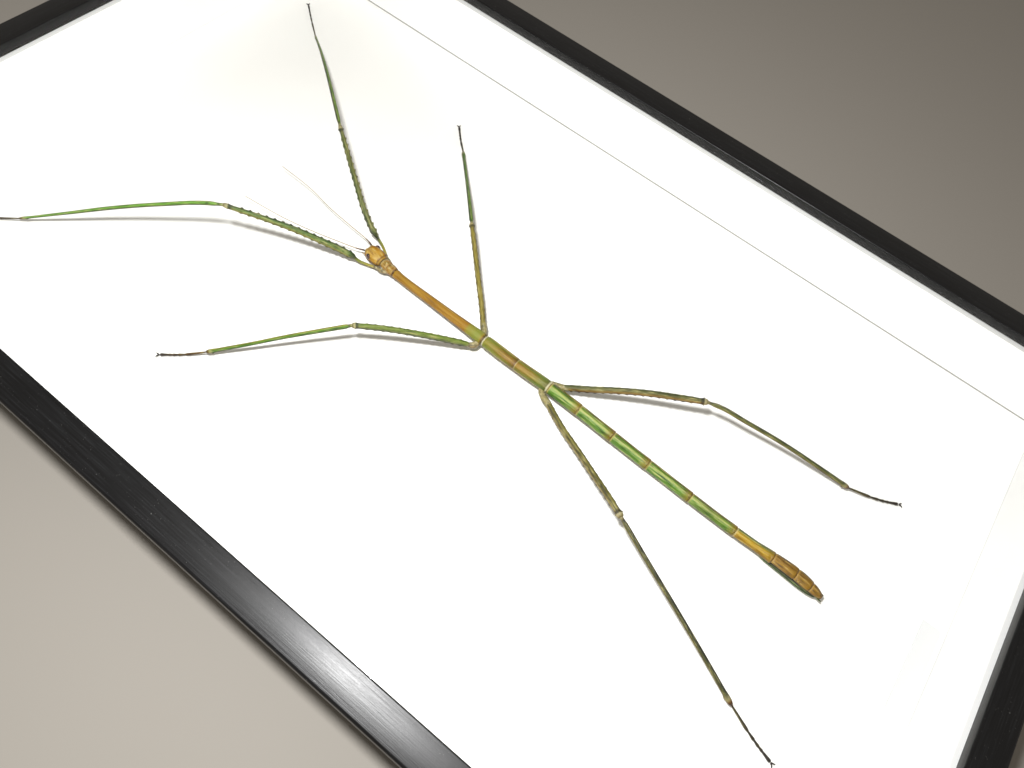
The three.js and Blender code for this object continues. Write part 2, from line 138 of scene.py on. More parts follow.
def addNode(tree, kind, inputs=None, stops=None, **settings):
    # inputs take a value, a socket or a node, whose first output is used; stops are a ramp's (place, hex) or
    # (place, hex, alpha)
    node = tree.nodes.new("ShaderNode" + kind)
    for key, value in settings.items():
        setattr(node, key, value)
    for key, value in (inputs or {}).items():
        if isinstance(value, bpy.types.Node):
            value = value.outputs[0]
        if isinstance(value, bpy.types.NodeSocket):
            tree.links.new(value, node.inputs[key])
        else:
            node.inputs[key].default_value = linear(value) if isinstance(value, str) else value
    if stops:
        ramp = node.color_ramp
        while len(ramp.elements) > 1:
            ramp.elements.remove(ramp.elements[0])
        for i, (place, hexCode, *alpha) in enumerate(stops):
            element = ramp.elements[0] if i == 0 else ramp.elements.new(min(max(place, 0), 1))
            element.position = min(max(place, 0), 1)
            element.color = linear(hexCode)[:3] + [alpha[0] if alpha else 1]
    return node


def newMaterial(name):
    material = bpy.data.materials.new(name)
    material.use_nodes = True
    material.node_tree.nodes.clear()
    return material, material.node_tree


def surface(tree, **inputs):
    # the Principled shader and the output; a socket's name is written in one word, as in baseColor
    names = {"baseColor": "Base Color", "roughness": "Roughness", "normal": "Normal", "metallic": "Metallic",
             "specular": "Specular IOR Level", "coat": "Coat Weight", "coatRoughness": "Coat Roughness"}
    shader = addNode(tree, "BsdfPrincipled", {names[key]: value for key, value in inputs.items()})
    addNode(tree, "OutputMaterial", {"Surface": shader})


def wear(piece, *materials):
    piece.data.materials.clear()
    for material in materials:
        piece.data.materials.append(material)


# The camera looks down over the near long side and past the right end, so close that the frame's four corners
# are out of view
camera = {"place": (0.10342, -0.16158, 0.30260), "lens": 25.925, "sensor": 36, "clip": 0.005,
          "right": (0.786102, 0.605142, 0.125885),
          "up": (-0.583855, 0.660140, 0.472576),
          "back": (0.202874, -0.444991, 0.872253)}
bpy.ops.object.camera_add()
viewer = bpy.context.object
viewer.data.lens = camera["lens"]
viewer.data.sensor_width = camera["sensor"]
viewer.data.clip_start = camera["clip"]
columns = [camera[side] for side in ("right", "up", "back", "place")]
viewer.matrix_world = Matrix([[column[i] for column in columns] for i in range(3)] + [[0, 0, 0, 1]])
bpy.context.scene.camera = viewer
print("camera placed")

# The four rails of the moulding: satin black paint, brushed on lengthwise over wood
rail = {"long": 519.8, "wide": 318.4, "barWide": 13.2, "high": 47, "lipHigh": 4.7, "rabbet": 3.5,
        "outerRound": 1.2, "innerRound": 0.6, "edgeRound": 0.3, "snug": 0.1}


def paintedWood():
    # satin paint over planed wood: near black, with a soft sheen drawn out by fine brush marks along the bar
    material, tree = newMaterial("satinBlackPaint")
    lay = addNode(tree, "Attribute", attribute_name="lay").outputs["Vector"]
    stroke = addNode(tree, "Mapping", {"Vector": lay, "Scale": (0.05, 2.2, 2.2)})      # marks 0.45 mm wide
    strokes = addNode(tree, "TexNoise", {"Vector": stroke, "Scale": 1, "Detail": 5, "Roughness": 0.65})
    clouds = addNode(tree, "TexNoise", {"Vector": lay, "Scale": 0.02, "Detail": 3})    # 50 mm patches
    shade = addNode(tree, "ValToRGB", {"Fac": strokes}, stops=[
        (0.3, "#070707"), (0.52, "#0d0d0e"), (0.7, "#191a1b")])
    dust = addNode(tree, "TexNoise", {"Vector": lay, "Scale": 2.2, "Detail": 2})       # specks 0.3 mm
    specks = addNode(tree, "ValToRGB", {"Fac": dust}, stops=[(0.735, "#000000"), (0.76, "#ffffff")])
    color = addNode(tree, "Mix", {0: specks, 6: shade, 7: "#5a5a58"}, data_type="RGBA")
    gloss = addNode(tree, "MapRange", {"Value": strokes, "To Min": 0.24, "To Max": 0.42})
    patch = addNode(tree, "MapRange", {"Value": clouds, "To Min": -0.05, "To Max": 0.06})
    rough = addNode(tree, "Math", {0: gloss, 1: patch}, operation="ADD")
    bump = addNode(tree, "Bump", {"Height": strokes, "Strength": 0.35, "Distance": 0.00012})
    surface(tree, baseColor=color.outputs[2], roughness=rough, specular=0.3, normal=bump)
    return material


def makeRail(name, length, place, turn):
    upright = rail["barWide"] - rail["rabbet"]
    lipUnder = rail["high"] - rail["lipHigh"]
    deselectAll()
    bpy.ops.mesh.primitive_cube_add(
        size=1, location=(0, upright / 2 * mm, lipUnder / 2 * mm),
        scale=(length * mm, upright * mm, lipUnder * mm))
    bar = settle(name)
    bpy.ops.object.mode_set(mode="EDIT")
    pick(lambda face: face.normal.z > 0.9)
    bpy.ops.mesh.extrude_region_move(TRANSFORM_OT_translate={"value": (0, 0, rail["lipHigh"] * mm)})
    pick(lambda face: face.normal.y > 0.9 and face.calc_center_median().z > lipUnder * mm)
    bpy.ops.mesh.extrude_region_move(TRANSFORM_OT_translate={"value": (0, rail["rabbet"] * mm, 0)})
    for end in (-1, 1):                                     # the mitres
        bpy.ops.mesh.select_all(action="SELECT")
        bpy.ops.mesh.bisect(
            plane_co=(end * (length / 2 - rail["snug"]) * mm, 0, 0), plane_no=(end, 1, 0),
            use_fill=True, clear_outer=True, threshold=0.000001)

    def runsAlong(edge, y=None, z=None):
        a, b = (vert.co / mm for vert in edge.verts)
        level = abs(a.y - b.y) < 0.01 and abs(a.z - b.z) < 0.01
        return level and (y is None or abs(a.y - y) < 0.01) and (z is None or abs(a.z - z) < 0.01)

    rounds = [(0, rail["high"], "outerRound", 5), (rail["barWide"], rail["high"], "innerRound", 4),
              (rail["barWide"], lipUnder, "edgeRound", 2), (0, 0, "edgeRound", 2),
              (upright, 0, "edgeRound", 2)]
    for y, z, size, steps in rounds:
        pick(lambda edge: runsAlong(edge, y, z), "edges")
        bpy.ops.mesh.bevel(offset=rail[size] * mm, segments=steps, affect="EDGES")
    bpy.ops.mesh.select_all(action="SELECT")
    bpy.ops.mesh.remove_doubles(threshold=0.000001)
    bpy.ops.mesh.normals_make_consistent(inside=False)
    bpy.ops.object.mode_set(mode="OBJECT")
    layDown(bar)
    bar.rotation_euler.z = turn
    bar.location = (place[0] * mm, place[1] * mm, 0)
    settle(name)
    smooth(bar, 30)
    return bar


blackPaint = paintedWood()
halfLong, halfWide = rail["long"] / 2, rail["wide"] / 2
for node, length, place, turn in (
        ("rail_near", rail["long"], (0, -halfWide), 0),
        ("rail_right", rail["wide"], (halfLong, 0), math.pi / 2),
        ("rail_far", rail["long"], (0, halfWide), math.pi),
        ("rail_left", rail["wide"], (-halfLong, 0), -math.pi / 2)):
    bar = makeRail(node.split("_")[1] + "Rail", length, place, turn)
    wear(bar, blackPaint)
    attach(bar, "root")
    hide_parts(node)
print("rails made")


# The glass, the white card and walls, and the label slip keep their solids and take finishes
def clearGlass():
    # float glass: seen only by the faint sheen on it, stronger towards a low angle
    material, tree = newMaterial("floatGlass")
    through = addNode(tree, "BsdfTransparent", {"Color": (0.99, 0.992, 0.988, 1)})
    sheen = addNode(tree, "BsdfGlossy", {"Color": (1, 1, 1, 1), "Roughness": 0.02})
    angle = addNode(tree, "Fresnel", {"IOR": 1.5})
    upper = addNode(tree, "Math", {0: 0.5, 1: addNode(tree, "NewGeometry").outputs["Backfacing"]},
                    operation="SUBTRACT")    # half strength, and none on a face seen from inside the pane
    share = addNode(tree, "Math", {0: angle, 1: upper}, operation="MULTIPLY", use_clamp=True)
    both = addNode(tree, "MixShader", {0: share, 1: through, 2: sheen})
    addNode(tree, "OutputMaterial", {"Surface": both})
    return material


def whiteCard(name, tone, warm, foot=0):
    # smooth matt card: bright white, with a very fine tooth and a few specks of dust; foot is the strength of
    # a painted shadow along its lower edge, in the crease where it stands on the mount card
    material, tree = newMaterial(name)
    place = addNode(tree, "TexCoord").outputs["Object"]
    tooth = addNode(tree, "TexNoise", {"Vector": place, "Scale": 2500, "Detail": 3})    # 0.4 mm tooth
    clouds = addNode(tree, "TexNoise", {"Vector": place, "Scale": 9, "Detail": 2})    # 110 mm clouds
    base = addNode(tree, "ValToRGB", {"Fac": clouds}, stops=[(0.35, tone), (0.65, warm)])
    cells = addNode(tree, "TexVoronoi", {"Vector": place, "Scale": 38, "Randomness": 1})    # cells of 26 mm
    speck = addNode(tree, "MapRange", {"Value": cells.outputs["Distance"], "From Min": 0.007,
                                       "From Max": 0.012, "To Min": 0.45, "To Max": 0})
    rare = addNode(tree, "Math", {0: cells.outputs["Color"], 1: 0.62}, operation="GREATER_THAN")
    dirt = addNode(tree, "Math", {0: speck, 1: rare}, operation="MULTIPLY")
    color = addNode(tree, "Mix", {0: dirt, 6: base, 7: "#6d6358"}, data_type="RGBA")
    color = color.outputs[2]
    if foot:
        # painted shadow in the crease: the card darkens in a thin band along its foot, where it meets the
        # mount card
        level = addNode(tree, "SeparateXYZ", {0: place}).outputs["Z"]
        near = (boardTop + 0.9) * mm
        creaseShadow = addNode(tree, "MapRange", {"Value": level, "From Min": near - 0.2 * mm, "From Max": near,
                                         "To Min": foot, "To Max": 0})
        color = addNode(tree, "Mix", {0: creaseShadow, 6: color, 7: "#4a4640"}, data_type="RGBA").outputs[2]
    bump = addNode(tree, "Bump", {"Height": tooth, "Strength": 0.2, "Distance": 0.00008})
    surface(tree, baseColor=color, roughness=0.75, specular=0.3, normal=bump)
    return material


def dress(node, material):
    for slot in bpy.data.objects[node].material_slots:
        slot.material = material


dress("glass", clearGlass())
boardFace = whiteCard("whiteMountCard", "#f7f7f5", "#f3f2ef")
wallFace = whiteCard("whiteWallCard", "#f6f6f5", "#f1f1ef")
# far wall card: a strong painted shadow along its foot, in the crease on the mount card
farWallFace = whiteCard("creaseShadowWallCard", "#f6f6f5", "#f1f1ef", foot=0.75)
# right wall card: the same white card given a greyer tone as painted shade, with a faint painted shadow along
# its foot
rightWallFace = whiteCard("shadedWallCard", "#ececec", "#e6e6e6", foot=0.2)
labelFace = whiteCard("labelPaper", "#d6d7d8", "#d3d4d5")
dress("mount_card", boardFace)
for side, face in (("near", wallFace), ("far", farWallFace), ("left", wallFace), ("right", rightWallFace)):
    dress("wall_" + side, face)
dress("label", labelFace)
print("glass, card and walls finished")

# The back: a brown fibreboard held by steel tabs
back = {"long": 500.2, "wide": 298.8, "under": 0.9, "over": 3.4, "tab": (14, 8, 0.35), "tabLift": 0.5,
        "longSpots": (-165, -55, 55, 165), "endSpots": (-75, 75)}


def fibreboard():
    # hardboard's rough face: brown pressed fibres under a faint woven print
    material, tree = newMaterial("brownFibreboard")
    place = addNode(tree, "TexCoord").outputs["Object"]
    fibres = addNode(tree, "TexNoise", {                                       # 1 mm apart
        "Vector": place, "Scale": 900, "Detail": 5, "Roughness": 0.7})
    weave = addNode(tree, "TexVoronoi", {                                      # a mesh of 1.4 mm
        "Vector": place, "Scale": 700, "Randomness": 0.25})
    clouds = addNode(tree, "TexNoise", {"Vector": place, "Scale": 14, "Detail": 3})    # 70 mm patches
    shade = addNode(tree, "ValToRGB", {"Fac": clouds}, stops=[(0.35, "#7a5535"), (0.65, "#8f6843")])
    fleck = addNode(tree, "ValToRGB", {"Fac": fibres}, stops=[(0.38, "#4a2f1a", 0.7), (0.5, "#4a2f1a", 0),
                                                             (0.68, "#b08a60", 0.5)])
    color = addNode(tree, "Mix", {0: fleck.outputs["Alpha"], 6: shade, 7: fleck}, data_type="RGBA")
    relief = addNode(tree, "Math", {0: weave, 1: fibres}, operation="ADD")
    bump = addNode(tree, "Bump", {"Height": relief, "Strength": 0.5, "Distance": 0.0003})
    surface(tree, baseColor=color.outputs[2], roughness=0.8, normal=bump)
    return material


def springSteel():
    # thin tinned steel, slightly brushed
    material, tree = newMaterial("tinnedSpringSteel")
    place = addNode(tree, "TexCoord").outputs["Object"]
    brush = addNode(tree, "TexNoise", {"Vector": place, "Scale": 2600, "Detail": 3})    # 0.4 mm marks
    rough = addNode(tree, "MapRange", {"Value": brush, "To Min": 0.25, "To Max": 0.5})
    surface(tree, baseColor="#b9b9b4", roughness=rough, metallic=1)
    return material


deselectAll()
bpy.ops.mesh.primitive_cube_add(
    size=1, location=(0, 0, (back["under"] + back["over"]) / 2 * mm),
    scale=(back["long"] * mm, back["wide"] * mm, (back["over"] - back["under"]) * mm))
panel = settle("backPanel")
modify(panel, "BEVEL", width=0.3 * mm, segments=2)
wear(panel, fibreboard())
steel = springSteel()
tabs = []
tabPlaces = [(x, y, 0) for x in back["longSpots"] for y in (-1, 1)]
tabPlaces += [(x, y, 90) for x in (-1, 1) for y in back["endSpots"]]
along, out, thick = back["tab"]
for x, y, turn in tabPlaces:
    if turn == 0:
        spot = (x, y * (back["wide"] / 2 - out / 2 + 0.05))
    else:
        spot = (x * (back["long"] / 2 - out / 2 + 0.05), y)
    deselectAll()
    bpy.ops.mesh.primitive_cube_add(
        size=1, location=(spot[0] * mm, spot[1] * mm, back["tabLift"] * mm),
        scale=(along * mm, out * mm, thick * mm), rotation=(0, 0, math.radians(turn)))
    tab = settle("tab")
    modify(tab, "BEVEL", width=0.12 * mm, segments=2)
    wear(tab, steel)
    tabs.append(tab)
joinAll([panel, *tabs])
smooth(panel, 30)
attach(panel, "root")
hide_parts("back_panel")
print("back made")

# The insect's colours are given as seen in strong light, and the dried hide's own tone is darker and fuller
hide = {"tone": 0.55, "saturation": 1.18}


# Dried cuticle: a hard, thin hide with half a gloss, coloured in bands round it, with fine streaks along it,
# dark grains and ragged blotches. around holds (turn, hex): 0 and 1 are the underside, 0.75 the +Y flank, and
# 0.5 the top, or a line beside it by lean turns. along holds (mm, hex, strength) of the marks on its length,
# and blotch is (mm across, hex, share left clear).
def cuticle(name, around, dark, pale, width=0.8, long=14, streak=0.7, grains=0.2, along=(), blotch=None,
            gloss=0.4, ragged=1.2, lean=-0.08):
    material, tree = newMaterial(name)
    lay = addNode(tree, "Attribute", attribute_name="lay").outputs["Vector"]
    parts = addNode(tree, "SeparateXYZ", {0: lay})
    angle = addNode(tree, "Math", {0: parts.outputs["Y"], 1: parts.outputs["Z"]}, operation="ARCTAN2")
    fibre = addNode(tree, "Mapping", {"Vector": lay, "Scale": (1 / long, 1 / width, 1 / width)})
    streaks = addNode(tree, "TexNoise", {"Vector": fibre, "Scale": 1, "Detail": 5, "Roughness": 0.62})
    drift = addNode(tree, "Math", {0: streaks, 1: 0.5}, operation="SUBTRACT")
    turn = addNode(tree, "Math", {0: angle, 1: 0.5 / math.pi, 2: 0.5 - lean}, operation="MULTIPLY_ADD")
    turn = addNode(tree, "Math", {0: drift, 1: 0.12, 2: turn}, operation="MULTIPLY_ADD")
    color = addNode(tree, "ValToRGB", {"Fac": turn}, stops=around)
    lines = addNode(tree, "ValToRGB", {"Fac": streaks}, stops=[
        (0.36, dark, streak), (0.48, dark, 0), (0.53, pale, 0), (0.65, pale, streak)])
    color = addNode(tree, "Mix", {0: lines.outputs["Alpha"], 6: color, 7: lines}, data_type="RGBA").outputs[2]
    if blotch:
        size, tint, clear = blotch
        cloud = addNode(tree, "TexNoise", {"Vector": lay, "Scale": 1 / size, "Detail": 3, "Roughness": 0.6})
        stain = addNode(tree, "MapRange", {"Value": cloud, "From Min": clear, "From Max": clear + 0.05,
                                           "To Max": 0.85})
        color = addNode(tree, "Mix", {0: stain, 6: color, 7: tint}, data_type="RGBA").outputs[2]
    if along:
        first, last = along[0][0], along[-1][0]
        place = addNode(tree, "Math", {0: drift, 1: ragged, 2: parts.outputs["X"]}, operation="MULTIPLY_ADD")
        spot = addNode(tree, "MapRange", {"Value": place, "From Min": first, "From Max": last})
        marks = addNode(tree, "ValToRGB", {"Fac": spot}, stops=[
            ((at - first) / (last - first), tint, strength) for at, tint, strength in along])
        color = addNode(tree, "Mix", {0: marks.outputs["Alpha"], 6: color, 7: marks},
                        data_type="RGBA").outputs[2]
    cells = addNode(tree, "TexVoronoi", {"Vector": lay, "Scale": 0.8})    # grains 1.2 mm apart
    grain = addNode(tree, "MapRange", {"Value": cells.outputs["Distance"], "From Min": 0.12, "From Max": 0.24,
                                       "To Min": 1, "To Max": 0})
    chosen = addNode(tree, "Math", {0: cells.outputs["Color"], 1: 1 - grains}, operation="GREATER_THAN")
    dots = addNode(tree, "Math", {0: grain, 1: chosen}, operation="MULTIPLY")
    color = addNode(tree, "Mix", {0: dots, 6: color, 7: "#1c1009"}, data_type="RGBA").outputs[2]
    pores = addNode(tree, "TexNoise", {"Vector": lay, "Scale": 2.2, "Detail": 4})    # pits 0.45 mm apart
    relief = addNode(tree, "Math", {0: pores, 1: 0.7, 2: streaks}, operation="MULTIPLY_ADD")
    relief = addNode(tree, "Math", {0: dots, 1: 0.5, 2: relief}, operation="MULTIPLY_ADD")
    bump = addNode(tree, "Bump", {"Height": relief, "Strength": 0.8, "Distance": 0.0003})
    sheen = addNode(tree, "Math", {0: pores, 1: streaks}, operation="ADD")
    rough = addNode(tree, "MapRange", {"Value": sheen, "From Min": 0.6, "From Max": 1.4,
                                       "To Min": gloss - 0.12, "To Max": gloss + 0.2})
    dried = addNode(tree, "HueSaturation", {
        "Color": color, "Saturation": hide["saturation"], "Value": hide["tone"]})
    surface(tree, baseColor=dried, roughness=rough, specular=0.4, normal=bump)
    return material


def bothSides(topDown):
    # the same bands on both flanks, given from the top (0) to the underside (1)
    half = [(0.5 + place / 2, tint) for place, tint in topDown]
    return [(1 - place, tint) for place, tint in reversed(half)] + half[(1 if half[0][0] == 0.5 else 0):]


def rims(cuts, dark, pale):
    # a dark hind rim and the pale skin behind it, at each joint of the body
    marks = []
    for cut in cuts:
        marks += [(cut - 4.5, "#a8843c", 0), (cut - 0.7, "#9a7430", 0.7), (cut - 0.15, dark, 0.95),
                  (cut + 0.1, pale, 0.85), (cut + 0.8, pale, 0)]
    return marks


# The marks along each part of a leg, in parts of its length, and its colours: the dark toothed keel, then the
# bands from the -Y flank over the top to the +Y flank
cream, knot = "#e2d8b0", "#1a110a"
thighMarks = [(0, cream, 0.7), (0.012, "#4a3a20", 0.5), (0.03, cream, 0), (0.935, cream, 0),
              (0.95, knot, 0.3), (0.962, knot, 0.85), (0.972, knot, 0.6), (0.979, cream, 0.7),
              (1.002, "#8a7a50", 0.8)]
stalkMarks = [(0, "#d9c98a", 0.9), (0.05, "#c2b45e", 0.8), (0.13, "#9aa050", 0.7), (0.158, "#20290f", 0.9),
              (0.176, "#26310f", 0.55), (0.21, "#26310f", 0), *thighMarks[3:]]
shinMarks = [(0, cream, 0.6), (0.01, "#a8986a", 0.5), (0.018, knot, 0.7), (0.032, knot, 0), (0.95, cream, 0),
             (0.972, "#dccf9c", 0.5), (0.984, "#7a4e24", 0.85), (1, knot, 0.9)]
footMarks = [(0, "#7a5428", 0.85), (0.03, "#2a1a0e", 0.8), (0.08, "#4c4222", 0.15), (0.42, "#2a1a10", 0.35),
             (0.47, knot, 0.9), (0.55, "#2a1a10", 0.5), (0.62, knot, 0.9), (0.7, "#2a1710", 0.6),
             (0.8, "#24120c", 0.9), (1, "#160c08", 0.95)]
legColors = {
    "frontLeft": {
        "Thigh": ("#20290f", "#3e5224", "#516e34", "#839b5a", "#889954", "#b4a156", "#5c6a2c"),
        "Shin": ("#4a4218", "#877635", "#8cbf64", "#9bd26f", "#759c4a", "#33421c"),
        "Foot": ("#1e140c", "#4c4420", "#54401f", "#33200f")},
    "frontRight": {
        "Thigh": ("#2a2e14", "#71713a", "#898c57", "#7c844e", "#516332", "#222f0f", "#161c0a"),
        "Shin": ("#1c240f", "#728f44", "#8db45c", "#6c8c48", "#333f20", "#1c240f"),
        "Foot": ("#17120a", "#3c3418", "#3a2c18", "#1e150c")},
    "midLeft": {
        "Thigh": ("#2c3816", "#4a5c1f", "#7c9444", "#8d9d52", "#738640", "#4c542a", "#2c3816"),
        "Shin": ("#3a3c18", "#9e8c38", "#9ca548", "#719d44", "#567b34", "#2c3c18"),
        "Foot": ("#241a0e", "#9a7530", "#855e28", "#33200f")},
    "midRight": {
        "Thigh": ("#2e2812", "#6a632f", "#a39653", "#aea15a", "#978845", "#5f5828", "#2e2812"),
        "Shin": ("#1e2c12", "#6c8f3d", "#729a45", "#4c6c36", "#1e2c12"),
        "Foot": ("#17110a", "#33280f", "#241a10", "#17110a")},
    "hindLeft": {
        "Thigh": ("#3a2e1a", "#cdb98c", "#8e8048", "#4a4624", "#8c844a", "#6c6a3a", "#100e06"),
        "Shin": ("#1c190c", "#887642", "#6b6634", "#51542b", "#2d2e15", "#17150a"),
        "Foot": ("#17120a", "#4c4422", "#3c3218", "#1e170c")},
    "hindRight": {
        "Thigh": ("#16150b", "#a97e49", "#ad8e56", "#767441", "#606638", "#47502e", "#262e16"),
        "Shin": ("#1c190c", "#8c7640", "#82804a", "#66703c", "#44482a", "#1c190c"),
        "Foot": ("#17120a", "#55481b", "#433513", "#1e170c")},
}
legLean = {"frontLeft": 0.1, "frontRight": 0.03, "midLeft": 0.083, "midRight": 0.027, "hindLeft": -0.09,
           "hindRight": -0.083}


def scaled(marks, long):
    return [(at * long, tint, strength) for at, tint, strength in marks]


def spread(keel, *across):
    # the keel's dark along both edges, and the colours between them over the back
    low = keel if len(across) < 6 else across[-1]
    colors = across if len(across) < 6 else across[:-1]
    return [(0, keel), (0.275, keel), *((mix(0.325, 0.675, i / (len(colors) - 1)), tint)
                                        for i, tint in enumerate(colors)), (0.725, low), (1, keel)]


def legLook(name, part, long):
    marks = {"Thigh": stalkMarks if name.startswith("front") else thighMarks, "Shin": shinMarks,
             "Foot": footMarks}[part]
    return cuticle(
        name + part + "Cuticle", spread(*legColors[name][part]), "#1a180a", "#d6cc94", width=0.4, long=5,
        streak=0.75, grains=0.45 if name == "midRight" else 0.2, ragged=0.8, gloss=0.46, lean=legLean[name],
        along=scaled(marks, long))


def hipLook(name, long):
    rear = name.startswith("hind") or name.endswith("Right")
    tones = ("#a89c62", "#8c8448", "#6a5c30") if rear else ("#d9cda4", "#bfae7c", "#8a6c40")
    marks = [(0, cream, 0.3), (0.5, cream, 0.2), (0.54, knot, 0.8), (0.6, cream, 0.6), (0.7, knot, 0.6),
             (0.78, knot, 0.85)]
    return cuticle(
        name + "HipCuticle", bothSides([*zip((0, 0.4, 0.52), tones), (1, "#5a4228")]), "#3a2412", "#efe6cc",
        width=0.7, long=1.8, streak=0.85, grains=0.6, blotch=(1.3, "#1c120a", 0.57),
        along=scaled(marks, long))


feelerLook = cuticle(
    "feelerCuticle", [(0, "#c4ae90"), (1, "#c4ae90")], "#a08468", "#dccdb6", long=3, streak=0.3, grains=0,
    ragged=0, along=[
        (0, "#120b07", 1), (1.1, "#1a100a", 1), (1.5, "#5c3418", 1), (3.9, "#6e4422", 1),
        (4.6, "#8a6238", 0.9), (6.5, "#c4ae90", 0.3), (9, "#c4ae90", 0)])
palpLook = cuticle("palpCuticle", [(0, "#a8845c"), (1, "#a8845c")], "#5a3a20", "#d0b088", long=2, grains=0)
lipLook = cuticle("lipCuticle", bothSides([(0, "#c29a58"), (0.6, "#7a5230"), (1, "#5a3c22")]), "#5a3a20",
                  "#dcc088", long=2, grains=0.2)
# the dark band at 0.3, along the upper edge of the egg scoop under the abdomen, is painted shadow
scoopLook = cuticle("greenScoopCuticle", bothSides([
    (0, "#4c5a2c"), (0.3, "#2a2412"), (0.42, "#33401c"), (0.5, "#5f8a48"), (0.62, "#6a8e50"),
    (0.68, "#2c3018"), (0.72, "#dcc894"), (0.78, "#cdb884"), (0.84, "#5a4a2c"), (1, "#6a5a34")]), "#3a4a20",
    "#a8bc7c", long=9, grains=0.1, gloss=0.36)

bodyLooks = [
    # the dark band along each lower flank of the head is partly its own colour and partly painted shade
    cuticle("goldenHeadCuticle", bothSides([
        (0, "#ecc884"), (0.2, "#e2b66a"), (0.38, "#cc9a50"), (0.47, "#7a4a20"), (0.56, "#3e2012"),
        (0.8, "#6e4a28"), (1, "#7a532c")]), "#7c4a1c", "#f0dc9c", long=6, streak=0.85, grains=0.1,
        ragged=0.8, along=[
            (-63.8, "#1e0f08", 0.95), (-63.35, "#1e0f08", 0.8), (-63.1, "#e6cf94", 0.7),
            (-62.2, "#7a4a20", 0.6), (-61.7, "#7a4a20", 0), (-54.6, "#5a2f14", 0), (-54, "#4a2410", 0.75),
            (-53.5, "#c9a25c", 0.5), (-52.9, "#1e0f08", 0.95)]),
    cuticle("mottledNeckShield", bothSides([
        (0, "#cfac6c"), (0.3, "#c49a5c"), (0.46, "#8a5a34"), (0.6, "#4a2c18"), (1, "#7a5630")]),
        "#7e4e2e", "#f0e2b2", width=0.7, long=1.6, streak=0.9, grains=0.35, blotch=(1.6, "#8c7a3c", 0.56),
        ragged=0.7, along=[
            (-52.9, "#1e0f08", 0.9), (-52.5, "#e9d9a4", 0.7), (-51.2, "#e9d9a4", 0), (-48.9, "#5a3218", 0),
            (-48.5, "#5a3218", 0.5), (-48.1, "#5a3218", 0), (-45, "#6a3a1c", 0), (-44.3, "#3e1c0e", 0.9)]),
    cuticle("ochreThoraxCuticle", bothSides([
        (0, "#c49a4c"), (0.12, "#b8883e"), (0.22, "#c69c56"), (0.32, "#b4843a"), (0.4, "#a06c20"),
        (0.45, "#8a5818"), (0.5, "#4e2c0c"), (0.62, "#5e3c18"), (1, "#6a4a24")]), "#7a5220", "#d9ba74",
        width=0.6, long=24, streak=0.8, grains=0.08, ragged=2.5, along=[
            (-44.3, "#3e1c0e", 0.9), (-43.5, "#d8b46c", 0.6), (-42.6, "#b08a48", 0.3), (-36, "#b08a48", 0.3),
            (-30, "#b08a48", 0), (1.8, "#a8a650", 0), (3.2, "#a8a652", 0.85), (8.5, "#9aa858", 0.9),
            (10.6, "#98a052", 0.8), (11.6, "#a08a3c", 0.5)]),
    cuticle("goldGreenThoraxCuticle", bothSides([
        (0, "#b8924a"), (0.1, "#a07c3a"), (0.18, "#93813a"), (0.26, "#6f7c34"), (0.33, "#7c7c34"),
        (0.37, "#e0d092"), (0.4, "#a88a44"), (0.46, "#c8ac62"), (0.5, "#5a3c14"), (0.6, "#9a7c3c"),
        (1, "#7a6434")]), "#5e4418", "#d6c67c", long=14, streak=0.7, grains=0.1, along=[
            (11.6, "#5e4418", 0.6), (12.45, "#2e1c0e", 0.85), (12.6, "#f6f0d4", 0.9), (13, "#f2ecc8", 0.8),
            (13.3, "#8c9a46", 0.6), (19, "#8f9c48", 0.4), (27.5, "#a07a34", 0.1), (30.4, "#6e4418", 0.5),
            (31.3, "#5a3414", 0.7), (31.6, "#efe2ae", 0.6), (32.1, "#a58a42", 0.1), (41, "#6c8a3c", 0.2),
            (46, "#5f7e36", 0.65), (49.1, "#4c5c28", 0.75), (49.35, "#f4eecc", 0.9), (49.9, "#f4eecc", 0.8),
            (50.2, "#3c2c14", 0.7)]),
    # the pale yellow-green band at 0.54, just off the top towards the -Y flank, is a painted highlight
    cuticle("greenAbdomenCuticle", [
        (0, "#6e6436"), (0.2, "#4c4020"), (0.255, "#2c3414"), (0.285, "#4e702c"), (0.34, "#709a44"),
        (0.42, "#689242"), (0.48, "#80a64c"), (0.54, "#c8d080"), (0.58, "#8aa850"), (0.62, "#5e8438"),
        (0.64, "#24340f"), (0.655, "#8a8a34"), (0.69, "#8c742c"), (0.725, "#4a3a14"), (0.8, "#4c4020"),
        (1, "#6e6436")], "#2c4416", "#d8da94", width=0.6, long=8, streak=0.9, grains=0.12, gloss=0.34,
        along=sorted([*rims([50.4, 67, 86, 105.7, 128.3, 151.4], "#4e3010", "#e4cf8e"),
                      (138, "#2c3a14", 0.38)])),
    cuticle("goldenAbdomenCuticle", [
        (0, "#6a5630"), (0.2, "#5e4420"), (0.27, "#2e2410"), (0.31, "#7e6c34"), (0.4, "#a88236"),
        (0.5, "#dcb652"), (0.56, "#ccaa4e"), (0.62, "#788440"), (0.68, "#54703a"), (0.71, "#3c4420"),
        (0.74, "#1e1c0c"), (1, "#6a5630")], "#70501a", "#f3df96", width=0.6, long=9, streak=0.8, grains=0.12,
        gloss=0.34, along=rims([151.4], "#6e4a1e", "#ecdca6") + rims([169.9], "#5a3414", "#d8c48c")),
    cuticle("brownTailCuticle", bothSides([
        (0, "#b8924c"), (0.15, "#a07c48"), (0.32, "#8a6a3c"), (0.42, "#5a4020"), (0.48, "#2a1c0e"),
        (0.7, "#4e4026"), (1, "#5c5a30")]), "#3e2812", "#e0c484", long=7, streak=0.8, grains=0.25, gloss=0.36,
        along=rims([169.9, 181, 188.6], "#3e2412", "#cda866") + [(194.4, "#4a3018", 0.7)])]

